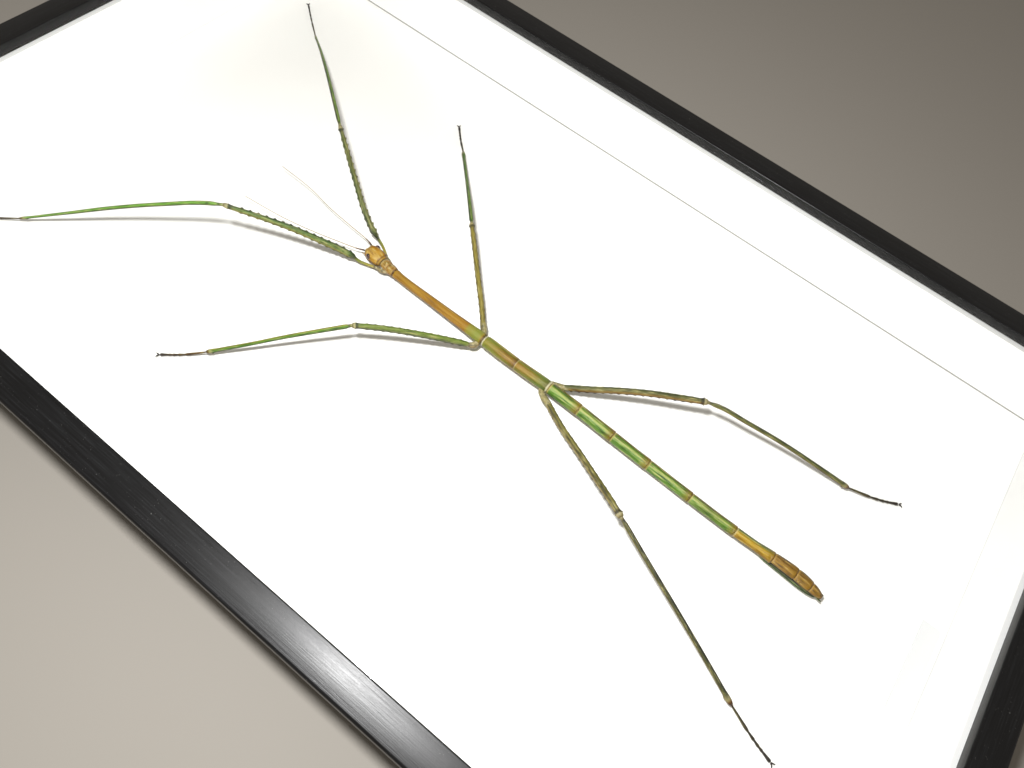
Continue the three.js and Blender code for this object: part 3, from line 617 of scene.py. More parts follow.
# The insect. Each length is modelled straight along X, ring by ring, laid along its own route, and joined to
# one skin. Routes are (x, y, height above the card), and a ring is (x, half width, height above its middle,
# depth below it), all in mm.
insect = {"bodySides": 28, "legSides": 18, "feelerSides": 8}
bodyRoute = [(-64, 0, 5.6), (-52.8, -0.9, 5.4), (-44.1, -2.1, 5.6), (-20, -3.1, 6.6), (12.8, -3.8, 7.6),
             (31, -4, 7.5), (50, -3.6, 7.4), (105, -4.8, 6.2), (151, -5.6, 5.7), (170, -5.2, 5.7),
             (182, -5.2, 5.7), (194.8, -6.6, 5.6)]
bodyStart = -64


def spar(name, rings, sides):
    # a closed length with its rings grown one from the other
    middle = lambda ring: (ring[2] - ring[3]) / 2
    tall = lambda ring: (ring[2] + ring[3]) / 2
    last = rings[0]
    deselectAll()
    bpy.ops.mesh.primitive_circle_add(
        vertices=sides, radius=mm, fill_type="NGON", location=(last[0] * mm, 0, middle(last) * mm),
        rotation=(0, math.pi / 2, 0))
    piece = settle(name)
    bpy.ops.object.mode_set(mode="EDIT")
    bpy.ops.mesh.select_mode(type="FACE")
    bpy.ops.mesh.select_all(action="SELECT")
    bpy.ops.transform.resize(
        value=(1, last[1], tall(last)), center_override=(last[0] * mm, 0, middle(last) * mm))
    for ring in rings[1:]:
        step = ((ring[0] - last[0]) * mm, 0, (middle(ring) - middle(last)) * mm)
        bpy.ops.mesh.extrude_region_move(TRANSFORM_OT_translate={"value": step})
        bpy.ops.transform.resize(
            value=(1, ring[1] / last[1], tall(ring) / tall(last)),
            center_override=(ring[0] * mm, 0, middle(ring) * mm))
        last = ring
    bpy.ops.mesh.select_all(action="SELECT")
    bpy.ops.mesh.normals_make_consistent(inside=False)
    bpy.ops.object.mode_set(mode="OBJECT")
    return piece


def routeCurve(points):
    curve = bpy.data.curves.new("route", "CURVE")
    curve.dimensions = "3D"
    curve.resolution_u = 24
    curve.twist_mode = "Z_UP"
    spline = curve.splines.new("BEZIER")
    spline.bezier_points.add(len(points) - 1)
    for knot, (x, y, height) in zip(spline.bezier_points, points):
        knot.co = (x * mm, y * mm, (boardTop + height) * mm)
        knot.handle_left_type = knot.handle_right_type = "AUTO"
    route = bpy.data.objects.new("route", curve)
    bpy.context.collection.objects.link(route)
    bpy.context.view_layer.update()
    return route, spline.calc_length() / mm


def bend(piece, route):
    modify(piece, "CURVE", object=route, deform_axis="POS_X")
    curve = route.data
    bpy.data.objects.remove(route)
    bpy.data.curves.remove(curve)


def teeth(piece, places, angle, spread, lift, lean, keep=0.2, flat=1):
    # saw teeth: the faces at these places along a row are drawn in to a point and pushed out; flat is the
    # piece's height over its width
    activate(piece)
    bpy.ops.object.mode_set(mode="EDIT")

    def onRow(face):
        middle = face.calc_center_median() / mm
        turn = math.degrees(math.atan2(middle.y * flat, middle.z))
        return abs((turn - angle + 180) % 360 - 180) < spread and any(a < middle.x < b for a, b in places)

    pick(onRow)
    bpy.ops.mesh.inset(thickness=keep * mm, depth=lift * mm, use_individual=True)
    bpy.ops.transform.translate(value=(lean * mm, 0, 0))
    bpy.ops.mesh.merge(type="COLLAPSE")
    bpy.ops.object.mode_set(mode="OBJECT")


def square(piece, reach, scale):
    # draws out the four long corners of a round piece, between the two ends of reach
    activate(piece)
    bpy.ops.object.mode_set(mode="EDIT")
    pick(lambda vert: reach[0] < vert.co.x / mm < reach[1]
         and 0.5 < abs(vert.co.y) / (abs(vert.co.z) + 0.00001) < 2.4, "verts")
    bpy.ops.transform.resize(value=(1, scale, scale), center_override=(0, 0, 0))
    bpy.ops.object.mode_set(mode="OBJECT")


def shift(piece, test, move, reach=None):
    # moves the vertices that pass the test, and with a reach draws their neighbours along
    activate(piece)
    bpy.ops.object.mode_set(mode="EDIT")
    pick(lambda vert: test(vert.co / mm), "verts")
    settings = {"use_proportional_edit": True, "proportional_size": reach * mm} if reach else {}
    bpy.ops.transform.translate(value=[part * mm for part in move], **settings)
    bpy.ops.object.mode_set(mode="OBJECT")


def segment(fromX, toX, outline):
    return [(mix(fromX, toX, part) - bodyStart, wide, high, under) for part, wide, high, under in outline]


# The body, from the face to the tail
body = {
    "head": (-63.7, -52.9, [
        (0, 1.5, 0.7, 1.5), (0.012, 2.2, 1.1, 2.1), (0.035, 2.75, 1.55, 2.55), (0.08, 3.15, 2, 2.85),
        (0.14, 3.45, 2.4, 3.05), (0.22, 3.65, 2.7, 3.2), (0.32, 3.85, 2.9, 3.3), (0.44, 4, 3, 3.3),
        (0.56, 4.05, 3.05, 3.2), (0.68, 4, 3.02, 3.1), (0.78, 3.85, 2.92, 2.95), (0.86, 3.55, 2.75, 2.8),
        (0.92, 3.15, 2.5, 2.55), (0.96, 2.7, 2.2, 2.3), (0.985, 2.3, 1.95, 2.05), (1, 2.1, 1.75, 1.9)]),
    "prothorax": (-52.9, -44.1, [
        (0.02, 2.05, 1.72, 1.9), (0.045, 2.25, 1.98, 2), (0.09, 2.5, 2.2, 2.1), (0.16, 2.62, 2.3, 2.2),
        (0.28, 2.72, 2.36, 2.3), (0.4, 2.75, 2.36, 2.3), (0.45, 2.66, 2.28, 2.25), (0.48, 2.55, 2.14, 2.2),
        (0.5, 2.52, 2.1, 2.2), (0.52, 2.56, 2.15, 2.2), (0.56, 2.68, 2.32, 2.25), (0.64, 2.75, 2.4, 2.3),
        (0.78, 2.68, 2.36, 2.3), (0.88, 2.55, 2.28, 2.2), (0.94, 2.42, 2.2, 2.1), (0.975, 2.22, 2, 2),
        (0.995, 2.05, 1.84, 1.9)]),
    "mesothorax": (-44.1, 12.8, [
        (0.004, 2.05, 1.84, 1.9), (0.01, 2.25, 2.06, 2), (0.02, 2.32, 2.16, 2.1), (0.035, 2.2, 2.04, 2.05),
        (0.06, 2.1, 1.96, 2), (0.1, 2.08, 1.96, 2), (0.16, 2.08, 1.98, 2), (0.23, 2.12, 2.02, 2.02),
        (0.3, 2.15, 2.05, 2.05), (0.38, 2.2, 2.08, 2.1), (0.46, 2.28, 2.14, 2.15), (0.54, 2.34, 2.2, 2.2),
        (0.62, 2.42, 2.26, 2.26), (0.7, 2.52, 2.34, 2.34), (0.77, 2.62, 2.42, 2.42), (0.83, 2.74, 2.52, 2.52),
        (0.88, 2.86, 2.62, 2.62), (0.92, 2.98, 2.72, 2.7), (0.95, 3.05, 2.8, 2.75), (0.975, 3.05, 2.8, 2.75),
        (0.988, 2.95, 2.7, 2.65), (0.996, 2.7, 2.46, 2.5)]),
    "metathorax": (12.8, 31.5, [
        (0.004, 2.6, 2.36, 2.4), (0.02, 2.8, 2.5, 2.55), (0.05, 2.95, 2.6, 2.62), (0.12, 3.05, 2.62, 2.6),
        (0.25, 3.1, 2.58, 2.55), (0.4, 3.1, 2.55, 2.55), (0.55, 3.1, 2.54, 2.5), (0.7, 3.08, 2.52, 2.5),
        (0.85, 3.06, 2.5, 2.5), (0.95, 3.05, 2.5, 2.5), (0.98, 3, 2.42, 2.48)]),
    "median_segment": (31.5, 50.2, [
        (0.003, 2.98, 2.4, 2.48), (0.03, 3.04, 2.48, 2.5), (0.15, 3.05, 2.5, 2.5), (0.3, 3.08, 2.52, 2.55),
        (0.45, 3.1, 2.56, 2.55), (0.6, 3.12, 2.62, 2.6), (0.75, 3.12, 2.7, 2.65), (0.86, 3.1, 2.76, 2.7),
        (0.93, 3.05, 2.76, 2.7), (0.97, 2.95, 2.68, 2.6), (0.99, 2.7, 2.45, 2.5)]),
}
bodyRings = []
for fromX, toX, outline in body.values():
    bodyRings += segment(fromX, toX, outline)
abdomen = {"cuts": [50.2, 67, 86, 105.7, 128.3, 151.4, 169.9], "front": 3, "rear": 2.35, "rim": 0.6}
for i, (fromX, toX) in enumerate(zip(abdomen["cuts"], abdomen["cuts"][1:])):
    wide = mix(abdomen["front"], abdomen["rear"], i / 5)
    swell = 0.4 if i == 5 else 0
    rim = abdomen["rim"] / (toX - fromX)
    bodyRings += segment(fromX, toX, [
        (0.002, wide - 0.22, wide - 0.42, wide - 0.35), (0.4 * rim, wide - 0.1, wide - 0.28, wide - 0.25),
        (rim, wide - 0.02, wide - 0.17, wide - 0.2), (0.1, wide, wide - 0.14, wide - 0.18),
        (0.25, wide - 0.02, wide - 0.15, wide - 0.2), (0.4, wide - 0.05, wide - 0.18, wide - 0.22),
        (0.55, wide - 0.06, wide - 0.2, wide - 0.22),
        (0.7, wide - 0.04 + swell * 0.4, wide - 0.17 + swell * 0.4, wide - 0.2),
        (0.85, wide + swell * 0.8, wide - 0.12 + swell * 0.8, wide - 0.17),
        (1 - 2.4 * rim, wide + 0.02 + swell, wide - 0.09 + swell, wide - 0.15),
        (1 - 2.1 * rim, wide - 0.04 + swell, wide - 0.14 + swell, wide - 0.18),
        (1 - 1.8 * rim, wide + 0.02 + swell, wide - 0.08 + swell, wide - 0.15),
        (1 - rim, wide + 0.04 + swell, wide - 0.05 + swell, wide - 0.15),
        (1 - 0.4 * rim, wide - 0.02 + swell, wide - 0.1 + swell, wide - 0.2),
        (0.999, wide - 0.2 + swell, wide - 0.34 + swell, wide - 0.35)])
# the last three rings are roofs over the egg scoop: arched above, nearly flat below
for fromX, toX, outline in (
        (169.9, 181, [(0.003, 2.3, 2.3), (0.05, 2.52, 2.5), (0.15, 2.64, 2.56), (0.4, 2.78, 2.62),
                      (0.7, 2.9, 2.64), (0.88, 2.94, 2.64), (0.96, 2.88, 2.58), (0.993, 2.62, 2.36)]),
        (181, 188.6, [(0.005, 2.6, 2.3), (0.06, 2.84, 2.44), (0.25, 2.94, 2.46), (0.5, 2.9, 2.4),
                      (0.75, 2.78, 2.32), (0.9, 2.66, 2.26), (0.96, 2.5, 2.14), (0.993, 2.28, 1.98)]),
        (188.6, 194.4, [(0.01, 2.24, 1.92), (0.1, 2.36, 2.04), (0.3, 2.26, 1.96), (0.5, 2.04, 1.78),
                        (0.68, 1.75, 1.5), (0.82, 1.45, 1.2), (0.92, 1.15, 0.95), (0.97, 0.95, 0.8)])):
    bodyRings += segment(fromX, toX, [(part, wide, high, 0.6) for part, wide, high in outline])

trunk = spar("insectSkin", bodyRings, insect["bodySides"])
square(trunk, reach=(0.3, 9.9), scale=1.09)    # the head's corners
# a low keel down the middle of the back, the bulges over the eyes, the brow, and the groove between them
shift(trunk, lambda v: v.z > 0 and abs(v.y) < 0.05 and 12 < v.x < 250, (0, 0, 0.1))
shift(trunk, lambda v: 2.6 < v.x < 4.4 and abs(v.y) > 3.3 and 0.3 < v.z < 1.6, (0, 0, 0.25), reach=1.2)
shift(trunk, lambda v: 0.5 < v.x < 1.6 and 1 < abs(v.y) < 2.6 and v.z > 0.8, (-0.1, 0, 0.35), reach=0.9)
shift(trunk, lambda v: 1.2 < v.x < 9.5 and abs(v.y) < 0.2 and v.z > 0.5, (0, 0, -0.2), reach=0.8)
activate(trunk)
bpy.ops.object.mode_set(mode="EDIT")
pick(lambda face: face.calc_center_median().x > 258.1 * mm)    # the end face of the tail: its notch
bpy.ops.mesh.inset(thickness=0.35 * mm, depth=-0.2 * mm)
bpy.ops.transform.translate(value=(-0.9 * mm, 0, 0.15 * mm))
bpy.ops.object.mode_set(mode="OBJECT")
layDown(trunk, bodyStart)
wear(trunk, *bodyLooks)
for face in trunk.data.polygons:
    x = sum(trunk.data.vertices[i].co.x for i in face.vertices) / len(face.vertices) / mm + bodyStart
    face.material_index = sum(x > cut for cut in (-52.9, -44.3, 11.6, 50.2, 151.4, 169.9))
bodyCurve, bodyLong = routeCurve(bodyRoute)
print("body modelled,", len(bodyRings), "rings,", round(bodyLong, 1), "mm")
bend(trunk, bodyCurve)

# Six legs. Each has its hip, thigh, shin and foot, and the hip's second joint is the ring before the thigh.
front = {"hip": 0.98, "thigh": (1.25, 0.95, 2.05, 1.2), "shin": (1, 0.85, 0.65), "foot": 0.5,
         "teeth": 15, "tooth": 0.6, "lower": 0.4, "rows": (60, 120)}
middleLeg = {"hip": 1.4, "thigh": (1.2, 1.1, 1.7, 1.6), "shin": (1.1, 0.85, 1.05), "foot": 0.6,
             "teeth": 13, "tooth": 0.25, "lower": 0.28, "rows": (60, 120)}
hind = {"hip": 1.4, "thigh": (1.4, 1.35, 1.55, 1.45), "shin": (1.05, 0.98, 1.2), "foot": 0.65,
        "teeth": 16, "tooth": 0.12, "lower": 0.28, "rows": (60, 120)}
legs = {
    "frontLeft": {
        "kind": front, "stalk": 0.162, "hip": [(-47.8, -3.3, 4.4), (-51, -4.6, 4), (-54.4, -4.8, 3.8)],
        "thigh": [(-57.8, -5.9, 3.7), (-61.6, -7.5, 4.2), (-66.2, -9.3, 7.2), (-76.9, -15.8, 13.9),
                  (-90.3, -24.4, 21.2)],
        "knee": (-113, -39.3, 30.3),
        "shin": [(-120, -44.2, 30), (-134.9, -54.6, 26), (-153.4, -67.5, 19.8), (-173.8, -81.9, 11.6)],
        "ankle": (-194.3, -96.2, 3.3), "sole": (-206.5, -105.3, 1.9), "toe": (-218.4, -113.8, 1.5)},
    "frontRight": {
        "kind": front, "stalk": 0.182, "hip": [(-49, 0.1, 4.4), (-51.8, 1.9, 4), (-55, 3.5, 3.8)],
        "thigh": [(-58.1, 5.6, 3.7), (-61.7, 7.3, 4.6), (-66.8, 8.1, 7.8), (-75.8, 11.3, 13.5),
                  (-87.2, 17.7, 20.5)],
        "knee": (-111.2, 32.8, 30.3),
        "shin": [(-131.6, 48.3, 27.6), (-150.2, 62.6, 22.6), (-171, 78.4, 14.6)],
        "ankle": (-193.5, 95.2, 3.3), "sole": (-206.4, 104.9, 1.9), "toe": (-218.2, 114.1, 1.5)},
    "midLeft": {
        "kind": middleLeg, "hip": [(10, -5.8, 6.4), (9.9, -8.1, 6.1), (8, -10.1, 6.8)],
        "thigh": [(4.7, -12.7, 8.3), (-13.1, -26.9, 14.6), (-23.4, -35.1, 17)],
        "knee": (-32.7, -42.6, 18.1),
        "shin": [(-43.2, -53.6, 15), (-53, -63.9, 12), (-62.8, -74.2, 8.3)],
        "ankle": (-76.9, -89, 3.6), "sole": (-84.3, -96, 1.9), "toe": (-92.2, -102.8, 1.5)},
    "midRight": {
        "kind": middleLeg, "hip": [(9.2, -1.6, 6.4), (8.8, 0.4, 6.2), (6.9, 2.2, 6.8)],
        "thigh": [(-0.7, 9.7, 9.8), (-9.6, 18, 12.7), (-20.7, 28.8, 15.6)],
        "knee": (-31, 38.7, 18.1),
        "shin": [(-41.1, 49.7, 15.9), (-53.5, 63.4, 11), (-64.8, 75.8, 6.6)],
        "ankle": (-72.7, 84.5, 3.6), "sole": (-80.7, 92.2, 1.9), "toe": (-88.1, 99.8, 1.5)},
    "hindLeft": {
        "kind": hind, "hip": [(47, -6, 6.4), (49.6, -8.2, 6.2), (53, -9.6, 6.6)],
        "thigh": [(65, -15.7, 7.3), (78.1, -22.2, 10.8), (91.1, -28.6, 13.8), (100.2, -33.1, 16)],
        "knee": (109, -37.5, 17.5),
        "shin": [(128.1, -44.8, 14.2), (146.1, -51.7, 11.5), (163.6, -58.4, 8.4)],
        "ankle": (183.8, -66.1, 4), "sole": (197.5, -70.9, 2.1), "toe": (207, -73.6, 1.5)},
    "hindRight": {
        "kind": hind, "hip": [(48, -1.6, 6.4), (50.6, -0.2, 6.2), (53.6, 0.4, 6.8)],
        "thigh": [(64.7, 6.5, 10), (75.8, 12.7, 13.8), (86.8, 18.8, 16.6), (98.3, 25.1, 18.1)],
        "knee": (110, 31.6, 19),
        "shin": [(117.4, 33.3, 19.6), (126.6, 35.3, 18), (146.9, 39.8, 14.4), (169.1, 44.8, 8.2)],
        "ankle": (182.6, 47.8, 4), "sole": (196.2, 53.1, 2.1), "toe": (206, 58.2, 1.5)},
}
skinParts = [trunk]


def laid(name, points, outline, sides, look, row=None):
    # a length whose outline is given in parts of its route; look is its material, or what makes the material
    # from its length; row is called before it is bent, to add its teeth
    route, long = routeCurve(points)
    rings = [(part * long, *ring) for part, *ring in outline]
    piece = spar(name, rings, sides)
    if row:
        row(piece, long)
    layDown(piece)
    wear(piece, look(long) if callable(look) else look)
    bend(piece, route)
    skinParts.append(piece)
    return piece


def even(outline):
    return [(part, wide, wide, wide) for part, wide in outline]


teethEnd = 0.93    # where the rows of teeth stop, in parts of a thigh or shin


def toothedThigh(kind, start):
    # rings in pairs, so that each tooth has a face of its own
    wideFrom, wideTo, tallFrom, tallTo = kind["thigh"]
    rings, places = [], []
    for i in range(kind["teeth"]):
        parts = [(i + half) / kind["teeth"] for half in (0, 0.5)]
        spots = [mix(start + 0.02, teethEnd, part) for part in parts]
        for at, part in zip(spots, parts):
            tall = mix(tallFrom, tallTo, part)
            rings.append((at, mix(wideFrom, wideTo, part), tall, tall))
        places.append(spots)
    return rings, places


def makeLeg(name, leg):
    kind = leg["kind"]
    laid(name + "Hip", leg["hip"] + [leg["thigh"][0]], even([(part, kind["hip"] * size) for part, size in (
        (0, 0.9), (0.1, 1.1), (0.24, 1.18), (0.4, 1.1), (0.5, 0.92), (0.56, 0.7), (0.6, 0.78), (0.66, 0.86),
        (0.72, 0.8), (0.76, 0.62))]), insect["legSides"], lambda long: hipLook(name, long))
    start = leg.get("stalk", 0.04)
    rings, places = toothedThigh(kind, start)
    wide, wideEnd, tall, tallEnd = kind["thigh"]
    if kind is front:    # a thin stalk bent round the head, then a sharp step
        base = [(-0.01, 0.5, 0.5, 0.5), (0, 0.6, 0.62, 0.6), (0.03, 0.68, 0.7, 0.68), (0.07, 0.66, 0.7, 0.66),
                (0.11, 0.68, 0.74, 0.7), (start - 0.02, 0.74, 0.8, 0.76), (start - 0.01, 0.86, 0.95, 0.9),
                (start, 1.05, 1.5, 1.2), (start + 0.006, 1.18, 1.9, 1.6)]
    else:
        base = [(-0.012, wide * 0.5, tall * 0.5, tall * 0.5), (0, wide * 0.7, tall * 0.7, tall * 0.7),
                (0.012, wide * 0.92, tall * 0.86, tall * 0.86), (0.03, wide, tall * 0.96, tall * 0.96),
                (0.05, wide, tall, tall)]
    knee = [(0.935, wideEnd, tallEnd, tallEnd), (0.95, wideEnd * 1.03, tallEnd, tallEnd),
            (0.965, wideEnd * 1.14, tallEnd * 1.02, tallEnd), (0.98, wideEnd * 1.18, tallEnd * 1.02, tallEnd),
            (0.99, wideEnd * 1.12, tallEnd * 0.96, tallEnd * 0.9),
            (1, wideEnd * 0.9, tallEnd * 0.8, tallEnd * 0.7),
            (1.004, wideEnd * 0.6, tallEnd * 0.55, tallEnd * 0.5)]

    def thighTeeth(piece, long):
        spots = [(a * long, b * long) for a, b in places]
        flat = (tall + tallEnd) / (wide + wideEnd)
        upper, lower = kind["rows"]
        for side in (-1, 1):
            teeth(piece, spots, side * upper, spread=9, lift=kind["tooth"], lean=0.25, keep=0.16, flat=flat)
            teeth(piece, spots, side * lower, spread=9, lift=kind["lower"], lean=0.2, keep=0.14, flat=flat)
        square(piece, reach=(places[0][0] * long, teethEnd * long), scale=1.07)
        kneeSpine = [(0.965 * long, 0.981 * long)]
        for side in (-1, 1):
            teeth(piece, kneeSpine, side * 80, spread=22, lift=0.4, lean=0.15, keep=0.12)

    laid(name + "Thigh", [leg["hip"][2], *leg["thigh"], leg["knee"]], base + rings + knee, insect["legSides"],
         lambda long: legLook(name, "Thigh", long), thighTeeth)
    thick, thin, end = kind["shin"]
    shinRings = [(-0.006, thick * 0.55), (0.004, thick * 0.75), (0.014, thick * 0.7), (0.026, thick * 0.72),
                 (0.04, thick * 0.92), (0.06, thick)]
    steps = 23
    spots = [mix(0.07, teethEnd, i / steps) for i in range(steps + 1)]
    for at in spots:    # thins as far as 0.6 of its length, then thickens towards the ankle
        size = mix(thick, thin, at / 0.6) if at < 0.6 else mix(thin, end * 0.86, (at - 0.6) / 0.33)
        shinRings.append((at, size))
    shinRings += [(0.95, end * 0.95), (0.965, end * 1.02), (0.98, end), (0.992, end * 0.85), (1, end * 0.6)]

    def shinTeeth(piece, long):
        rows = [(spots[i] * long, spots[i + 1] * long) for i in range(0, steps, 2)]
        ankleSpur = [(0.951 * long, 0.966 * long)]
        for side in (-1, 1):
            teeth(piece, rows, side * 110, spread=9, lift=0.2, lean=0.5, keep=0.1)
            teeth(piece, ankleSpur, side * 120, spread=12, lift=0.4, lean=0.3, keep=0.1)

    laid(name + "Shin", [leg["knee"], *leg["shin"], leg["ankle"]],
         [(part, size * 0.97, size * 1.03, size * 1.03) for part, size in shinRings], insect["legSides"],
         lambda long: legLook(name, "Shin", long), shinTeeth)
    # the foot: five short pieces, the first as long as the rest, each wider at its far end and padded below
    radius = kind["foot"]
    footCuts = [0, 0.46, 0.6, 0.71, 0.79, 0.97]
    footRings = [(-0.015, radius * 0.5, radius * 0.5, radius * 0.5)]
    for i, (near, far) in enumerate(zip(footCuts, footCuts[1:])):
        swell = 1.15 if i == 4 else 1
        for part, size, pad in ((0.03, 0.6, 0.6), (0.2, 0.72, 0.7), (0.5, 0.82, 0.85), (0.75, 0.98, 1.1),
                                (0.88, 1.02, 1.2), (0.96, 0.82, 0.9), (1, 0.58, 0.58)):
            footRings.append((
                mix(near, far, part * 0.97 + 0.01), radius * size * swell, radius * size * 0.95 * swell,
                radius * pad * 0.95))
    laid(name + "Foot", [leg["ankle"], leg["sole"], leg["toe"]], footRings, insect["feelerSides"] + 4,
         lambda long: legLook(name, "Foot", long))


for name, leg in legs.items():
    makeLeg(name, leg)
print("legs modelled,", len(skinParts), "parts")

# The feelers: a stout first piece and a bead, then a thread of even joints that thins to its tip
feelers = {
    "leftFeeler": [(-63.2, -1.9, 6.1), (-64.2, -2.2, 6.2), (-66.8, -3.7, 6.5), (-75.5, -6.9, 7),
                   (-90.6, -11.7, 7.6), (-104, -15, 8), (-127.5, -18.5, 8.5)],
    "rightFeeler": [(-63, 2.4, 6.1), (-64, 2.6, 6.2), (-66.2, 3.1, 6.5), (-78.9, 3.9, 7), (-93.6, 5, 7.4),
                    (-108.7, 7.2, 7.8), (-129.3, 7.7, 8.5)],
}
feeler = {"root": 0.42, "bead": 0.34, "thread": 0.22, "tip": 0.13, "joints": 26}
feelerRings = [(0, 0.3), (0.008, feeler["root"] * 0.85), (0.02, feeler["root"]), (0.04, feeler["root"] * 0.9),
               (0.052, feeler["root"] * 0.7), (0.056, 0.24), (0.06, feeler["bead"]),
               (0.072, feeler["bead"] * 0.95), (0.08, 0.22)]
for i in range(feeler["joints"]):
    size = mix(feeler["thread"], feeler["tip"], i / feeler["joints"])
    for part, swell in ((0.04, 0.86), (0.5, 0.96), (0.94, 1.12)):
        feelerRings.append((mix(0.082, 0.998, (i + part) / feeler["joints"]), size * swell))
for name, points in feelers.items():
    laid(name, points, even(feelerRings), insect["feelerSides"], feelerLook)

# The mouth: two pairs of short feelers, and the lips between them
outerPalp = even([(0, 0.3), (0.3, 0.34), (0.38, 0.26), (0.44, 0.32), (0.68, 0.36), (0.74, 0.26), (0.8, 0.32),
                  (0.94, 0.34), (0.99, 0.2)])
innerPalp = even([(0, 0.24), (0.4, 0.28), (0.5, 0.2), (0.58, 0.26), (0.9, 0.28), (0.99, 0.15)])
for side in (-1, 1):
    laid("palp", [(-62, side * 1.4 - 0.1, 4.6), (-63.6, side * 2 - 0.1, 4), (-65.2, side * 2.5 - 0.1, 3.6)],
         outerPalp, insect["feelerSides"], palpLook)
    laid("palp", [(-62.4, side * 0.5 - 0.1, 4), (-63.6, side * 0.8 - 0.1, 3.4), (-64.4, side * 0.9 - 0.1, 3)],
         innerPalp, insect["feelerSides"], palpLook)
laid("lip", [(-62.6, -0.1, 5), (-63.9, -0.1, 4.3), (-64.3, -0.1, 3.4)], [
    (0, 1.1, 0.5, 0.5), (0.3, 1.25, 0.5, 0.5), (0.6, 1.2, 0.45, 0.45), (0.65, 1.05, 0.38, 0.38),
    (0.75, 1.1, 0.42, 0.42), (0.95, 0.85, 0.35, 0.35), (1, 0.5, 0.2, 0.2)], insect["legSides"], lipLook)

# The egg scoop under the tail, and the two small feelers at its end
scoopRoute = [(162.5, -5.6, 4.4), (170, -5.4, 4.3), (177.5, -5.5, 4.3), (185, -6, 4.3), (192.4, -6.9, 4.3)]
laid("eggScoop", scoopRoute, [
    (0, 0.6, 0.2, 1), (0.03, 1, 0.28, 1.6), (0.08, 1.5, 0.32, 2), (0.16, 2, 0.35, 2.15),
    (0.28, 2.2, 0.35, 2.25), (0.4, 2.34, 0.35, 2.3), (0.55, 2.46, 0.35, 2.3), (0.68, 2.46, 0.35, 2.28),
    (0.78, 2.3, 0.35, 2.15), (0.86, 2, 0.32, 1.9), (0.93, 1.5, 0.3, 1.5), (0.975, 1, 0.28, 1),
    (1, 0.5, 0.2, 0.5)], insect["legSides"] + 6, scoopLook)
for side in (-1, 1):
    laid("tailFeeler", [
        (191.4, -6.2 + side * 1.3, 5.6), (193.2, -6.4 + side * 1.5, 5.4), (194.6, -6.5 + side * 1.4, 5.2)],
        even([(0, 0.4), (0.4, 0.42), (0.8, 0.32), (1, 0.12)]), insect["feelerSides"], scoopLook)

for part in skinParts[1:]:
    modify(trunk, "BOOLEAN", operation="UNION", object=part, solver="MANIFOLD", material_mode="TRANSFER")
    print(part.name, len(trunk.data.vertices))
    bpy.data.objects.remove(part)
smooth(trunk, 38)
print("skin joined,", len(trunk.data.polygons), "faces")
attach(trunk, "root")
fleshNodes = ["head", *body, *[f"abdomen_{i}" for i in range(2, 11)], "egg_scoop", "antenna_left",
              "antenna_right"]
fleshNodes = [node for i, node in enumerate(fleshNodes) if node not in fleshNodes[:i]]
for pair in ("front", "mid", "hind"):
    for side in ("left", "right"):
        fleshNodes += [f"{part}_{pair}_{side}" for part in ("coxa", "femur", "tibia", "tarsus")]
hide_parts(*fleshNodes)

# The eyes: dark glossy beads half sunk in the sides of the head, of many fine facets
eye = {"half": (1.4, 1.15, 1.6), "left": (-60.1, -3.55, 6.3), "right": (-60.2, 3.1, 6.4), "turn": 14,
       "segments": 40, "rings": 24}


def facetedEye():
    # the cornea: dark red-brown under a wet-looking gloss, broken up by facets 0.09 mm across
    material, tree = newMaterial("darkRedCornea")
    place = addNode(tree, "TexCoord").outputs["Object"]
    facets = addNode(tree, "TexVoronoi", {"Vector": place, "Scale": 11000, "Randomness": 0.3})
    cloud = addNode(tree, "TexNoise", {"Vector": place, "Scale": 1300, "Detail": 2})    # 0.8 mm clouds
    color = addNode(tree, "ValToRGB", {"Fac": cloud}, stops=[
        (0.42, "#0e0403"), (0.55, "#300b07"), (0.7, "#6e2c20")])
    bump = addNode(tree, "Bump", {"Height": facets, "Strength": 0.25, "Distance": 0.00003}, invert=True)
    surface(tree, baseColor=color, roughness=0.22, normal=bump, coat=0.8, coatRoughness=0.08)
    return material


cornea = facetedEye()
for side in ("left", "right"):
    x, y, height = eye[side]
    deselectAll()
    bpy.ops.mesh.primitive_uv_sphere_add(
        segments=eye["segments"], ring_count=eye["rings"], radius=1,
        location=(x * mm, y * mm, (boardTop + height) * mm),
        scale=[half * mm for half in eye["half"]],
        rotation=(0, 0, math.radians(eye["turn"] if side == "right" else -eye["turn"])))
    bead = settle(side + "Eye")
    smooth(bead, 60)
    wear(bead, cornea)
    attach(bead, "root")
    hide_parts("eye_" + side)

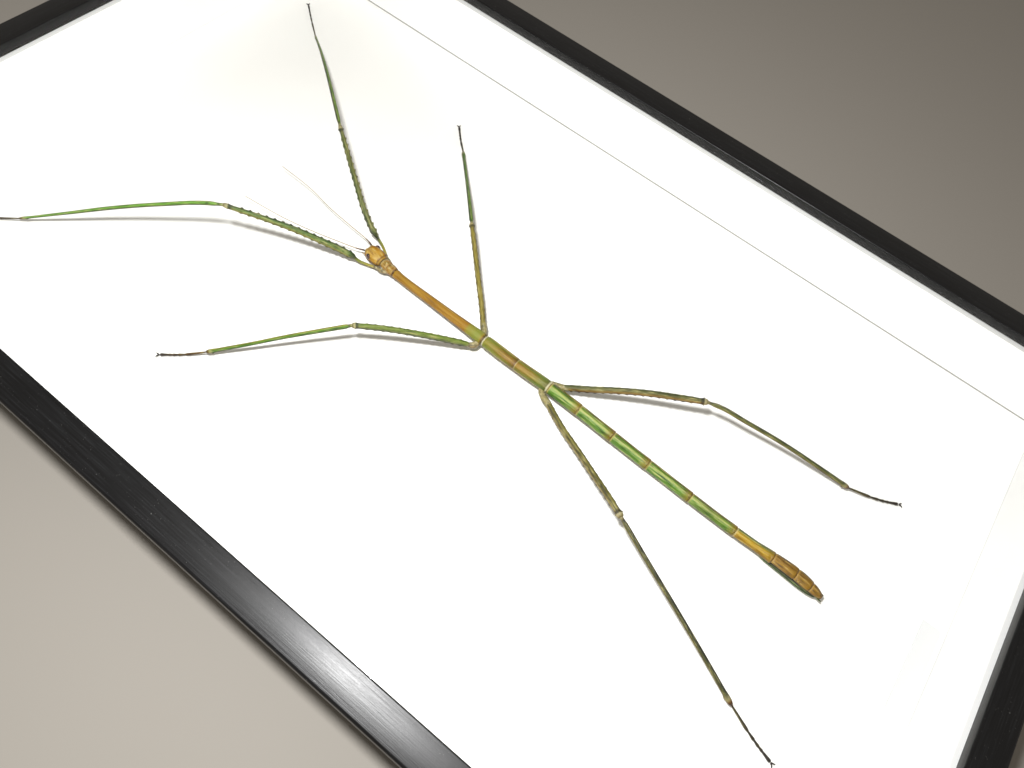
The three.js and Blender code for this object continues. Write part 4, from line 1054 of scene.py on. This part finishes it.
# The claws: a pair of dark hooks spread at the end of each foot
claw = {"reach": 1.5, "spread": 1.25, "rise": 0.15, "drop": 0.25}
clawRings = even([(0, 0.2), (0.05, 0.3), (0.3, 0.3), (0.55, 0.26), (0.8, 0.17), (0.95, 0.08), (1, 0.03)])
clawHorn = cuticle("darkClawHorn", [(0, "#1e0f0a"), (1, "#1e0f0a")], "#0c0604", "#4a241a", long=2, grains=0,
                   gloss=0.3)
hooks = []
up = Vector((0, 0, 1))
for name, leg in legs.items():
    sole, toe = Vector(leg["sole"]), Vector(leg["toe"])
    ahead = (toe - sole).normalized()
    beside = Vector((-ahead.y, ahead.x, 0)).normalized()
    for side in (-1, 1):
        path = [
            toe - ahead * 0.35 + beside * side * 0.1,
            toe + ahead * claw["reach"] * 0.45 + beside * side * claw["spread"] * 0.55 + up * claw["rise"],
            toe + ahead * claw["reach"] * 0.8 + beside * side * claw["spread"] - up * claw["drop"]]
        hooks.append(laid("claws", path, clawRings, insect["feelerSides"], clawHorn))
claws = joinAll(hooks)
claws.name = claws.data.name = "claws"
smooth(claws, 60)
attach(claws, "root")
print("eyes and claws made")

# The floor and the light
floorSize = 4    # m
deselectAll()
bpy.ops.mesh.primitive_plane_add(size=floorSize)
floor = settle("floor")
floorPaint, tree = newMaterial("paleFloorPaint")
surface(tree, baseColor="#8f8a82", roughness=0.8)
wear(floor, floorPaint)

lamp = {"place": (0.032, -0.138, 0.366), "radius": 0.017, "watts": 8.6}
sky = {"color": (1, 0.925, 0.83, 1), "strength": 0.33}    # dim and slightly warm
bpy.ops.object.light_add(type="POINT", location=lamp["place"])
key = bpy.context.object
key.data.shadow_soft_size = lamp["radius"]
key.data.energy = lamp["watts"]
world = bpy.data.worlds.new("studio")
bpy.context.scene.world = world
world.use_nodes = True
world.node_tree.nodes["Background"].inputs["Color"].default_value = sky["color"]
world.node_tree.nodes["Background"].inputs["Strength"].default_value = sky["strength"]
bpy.context.scene.view_settings.view_transform = "Standard"
print("floor and light placed")
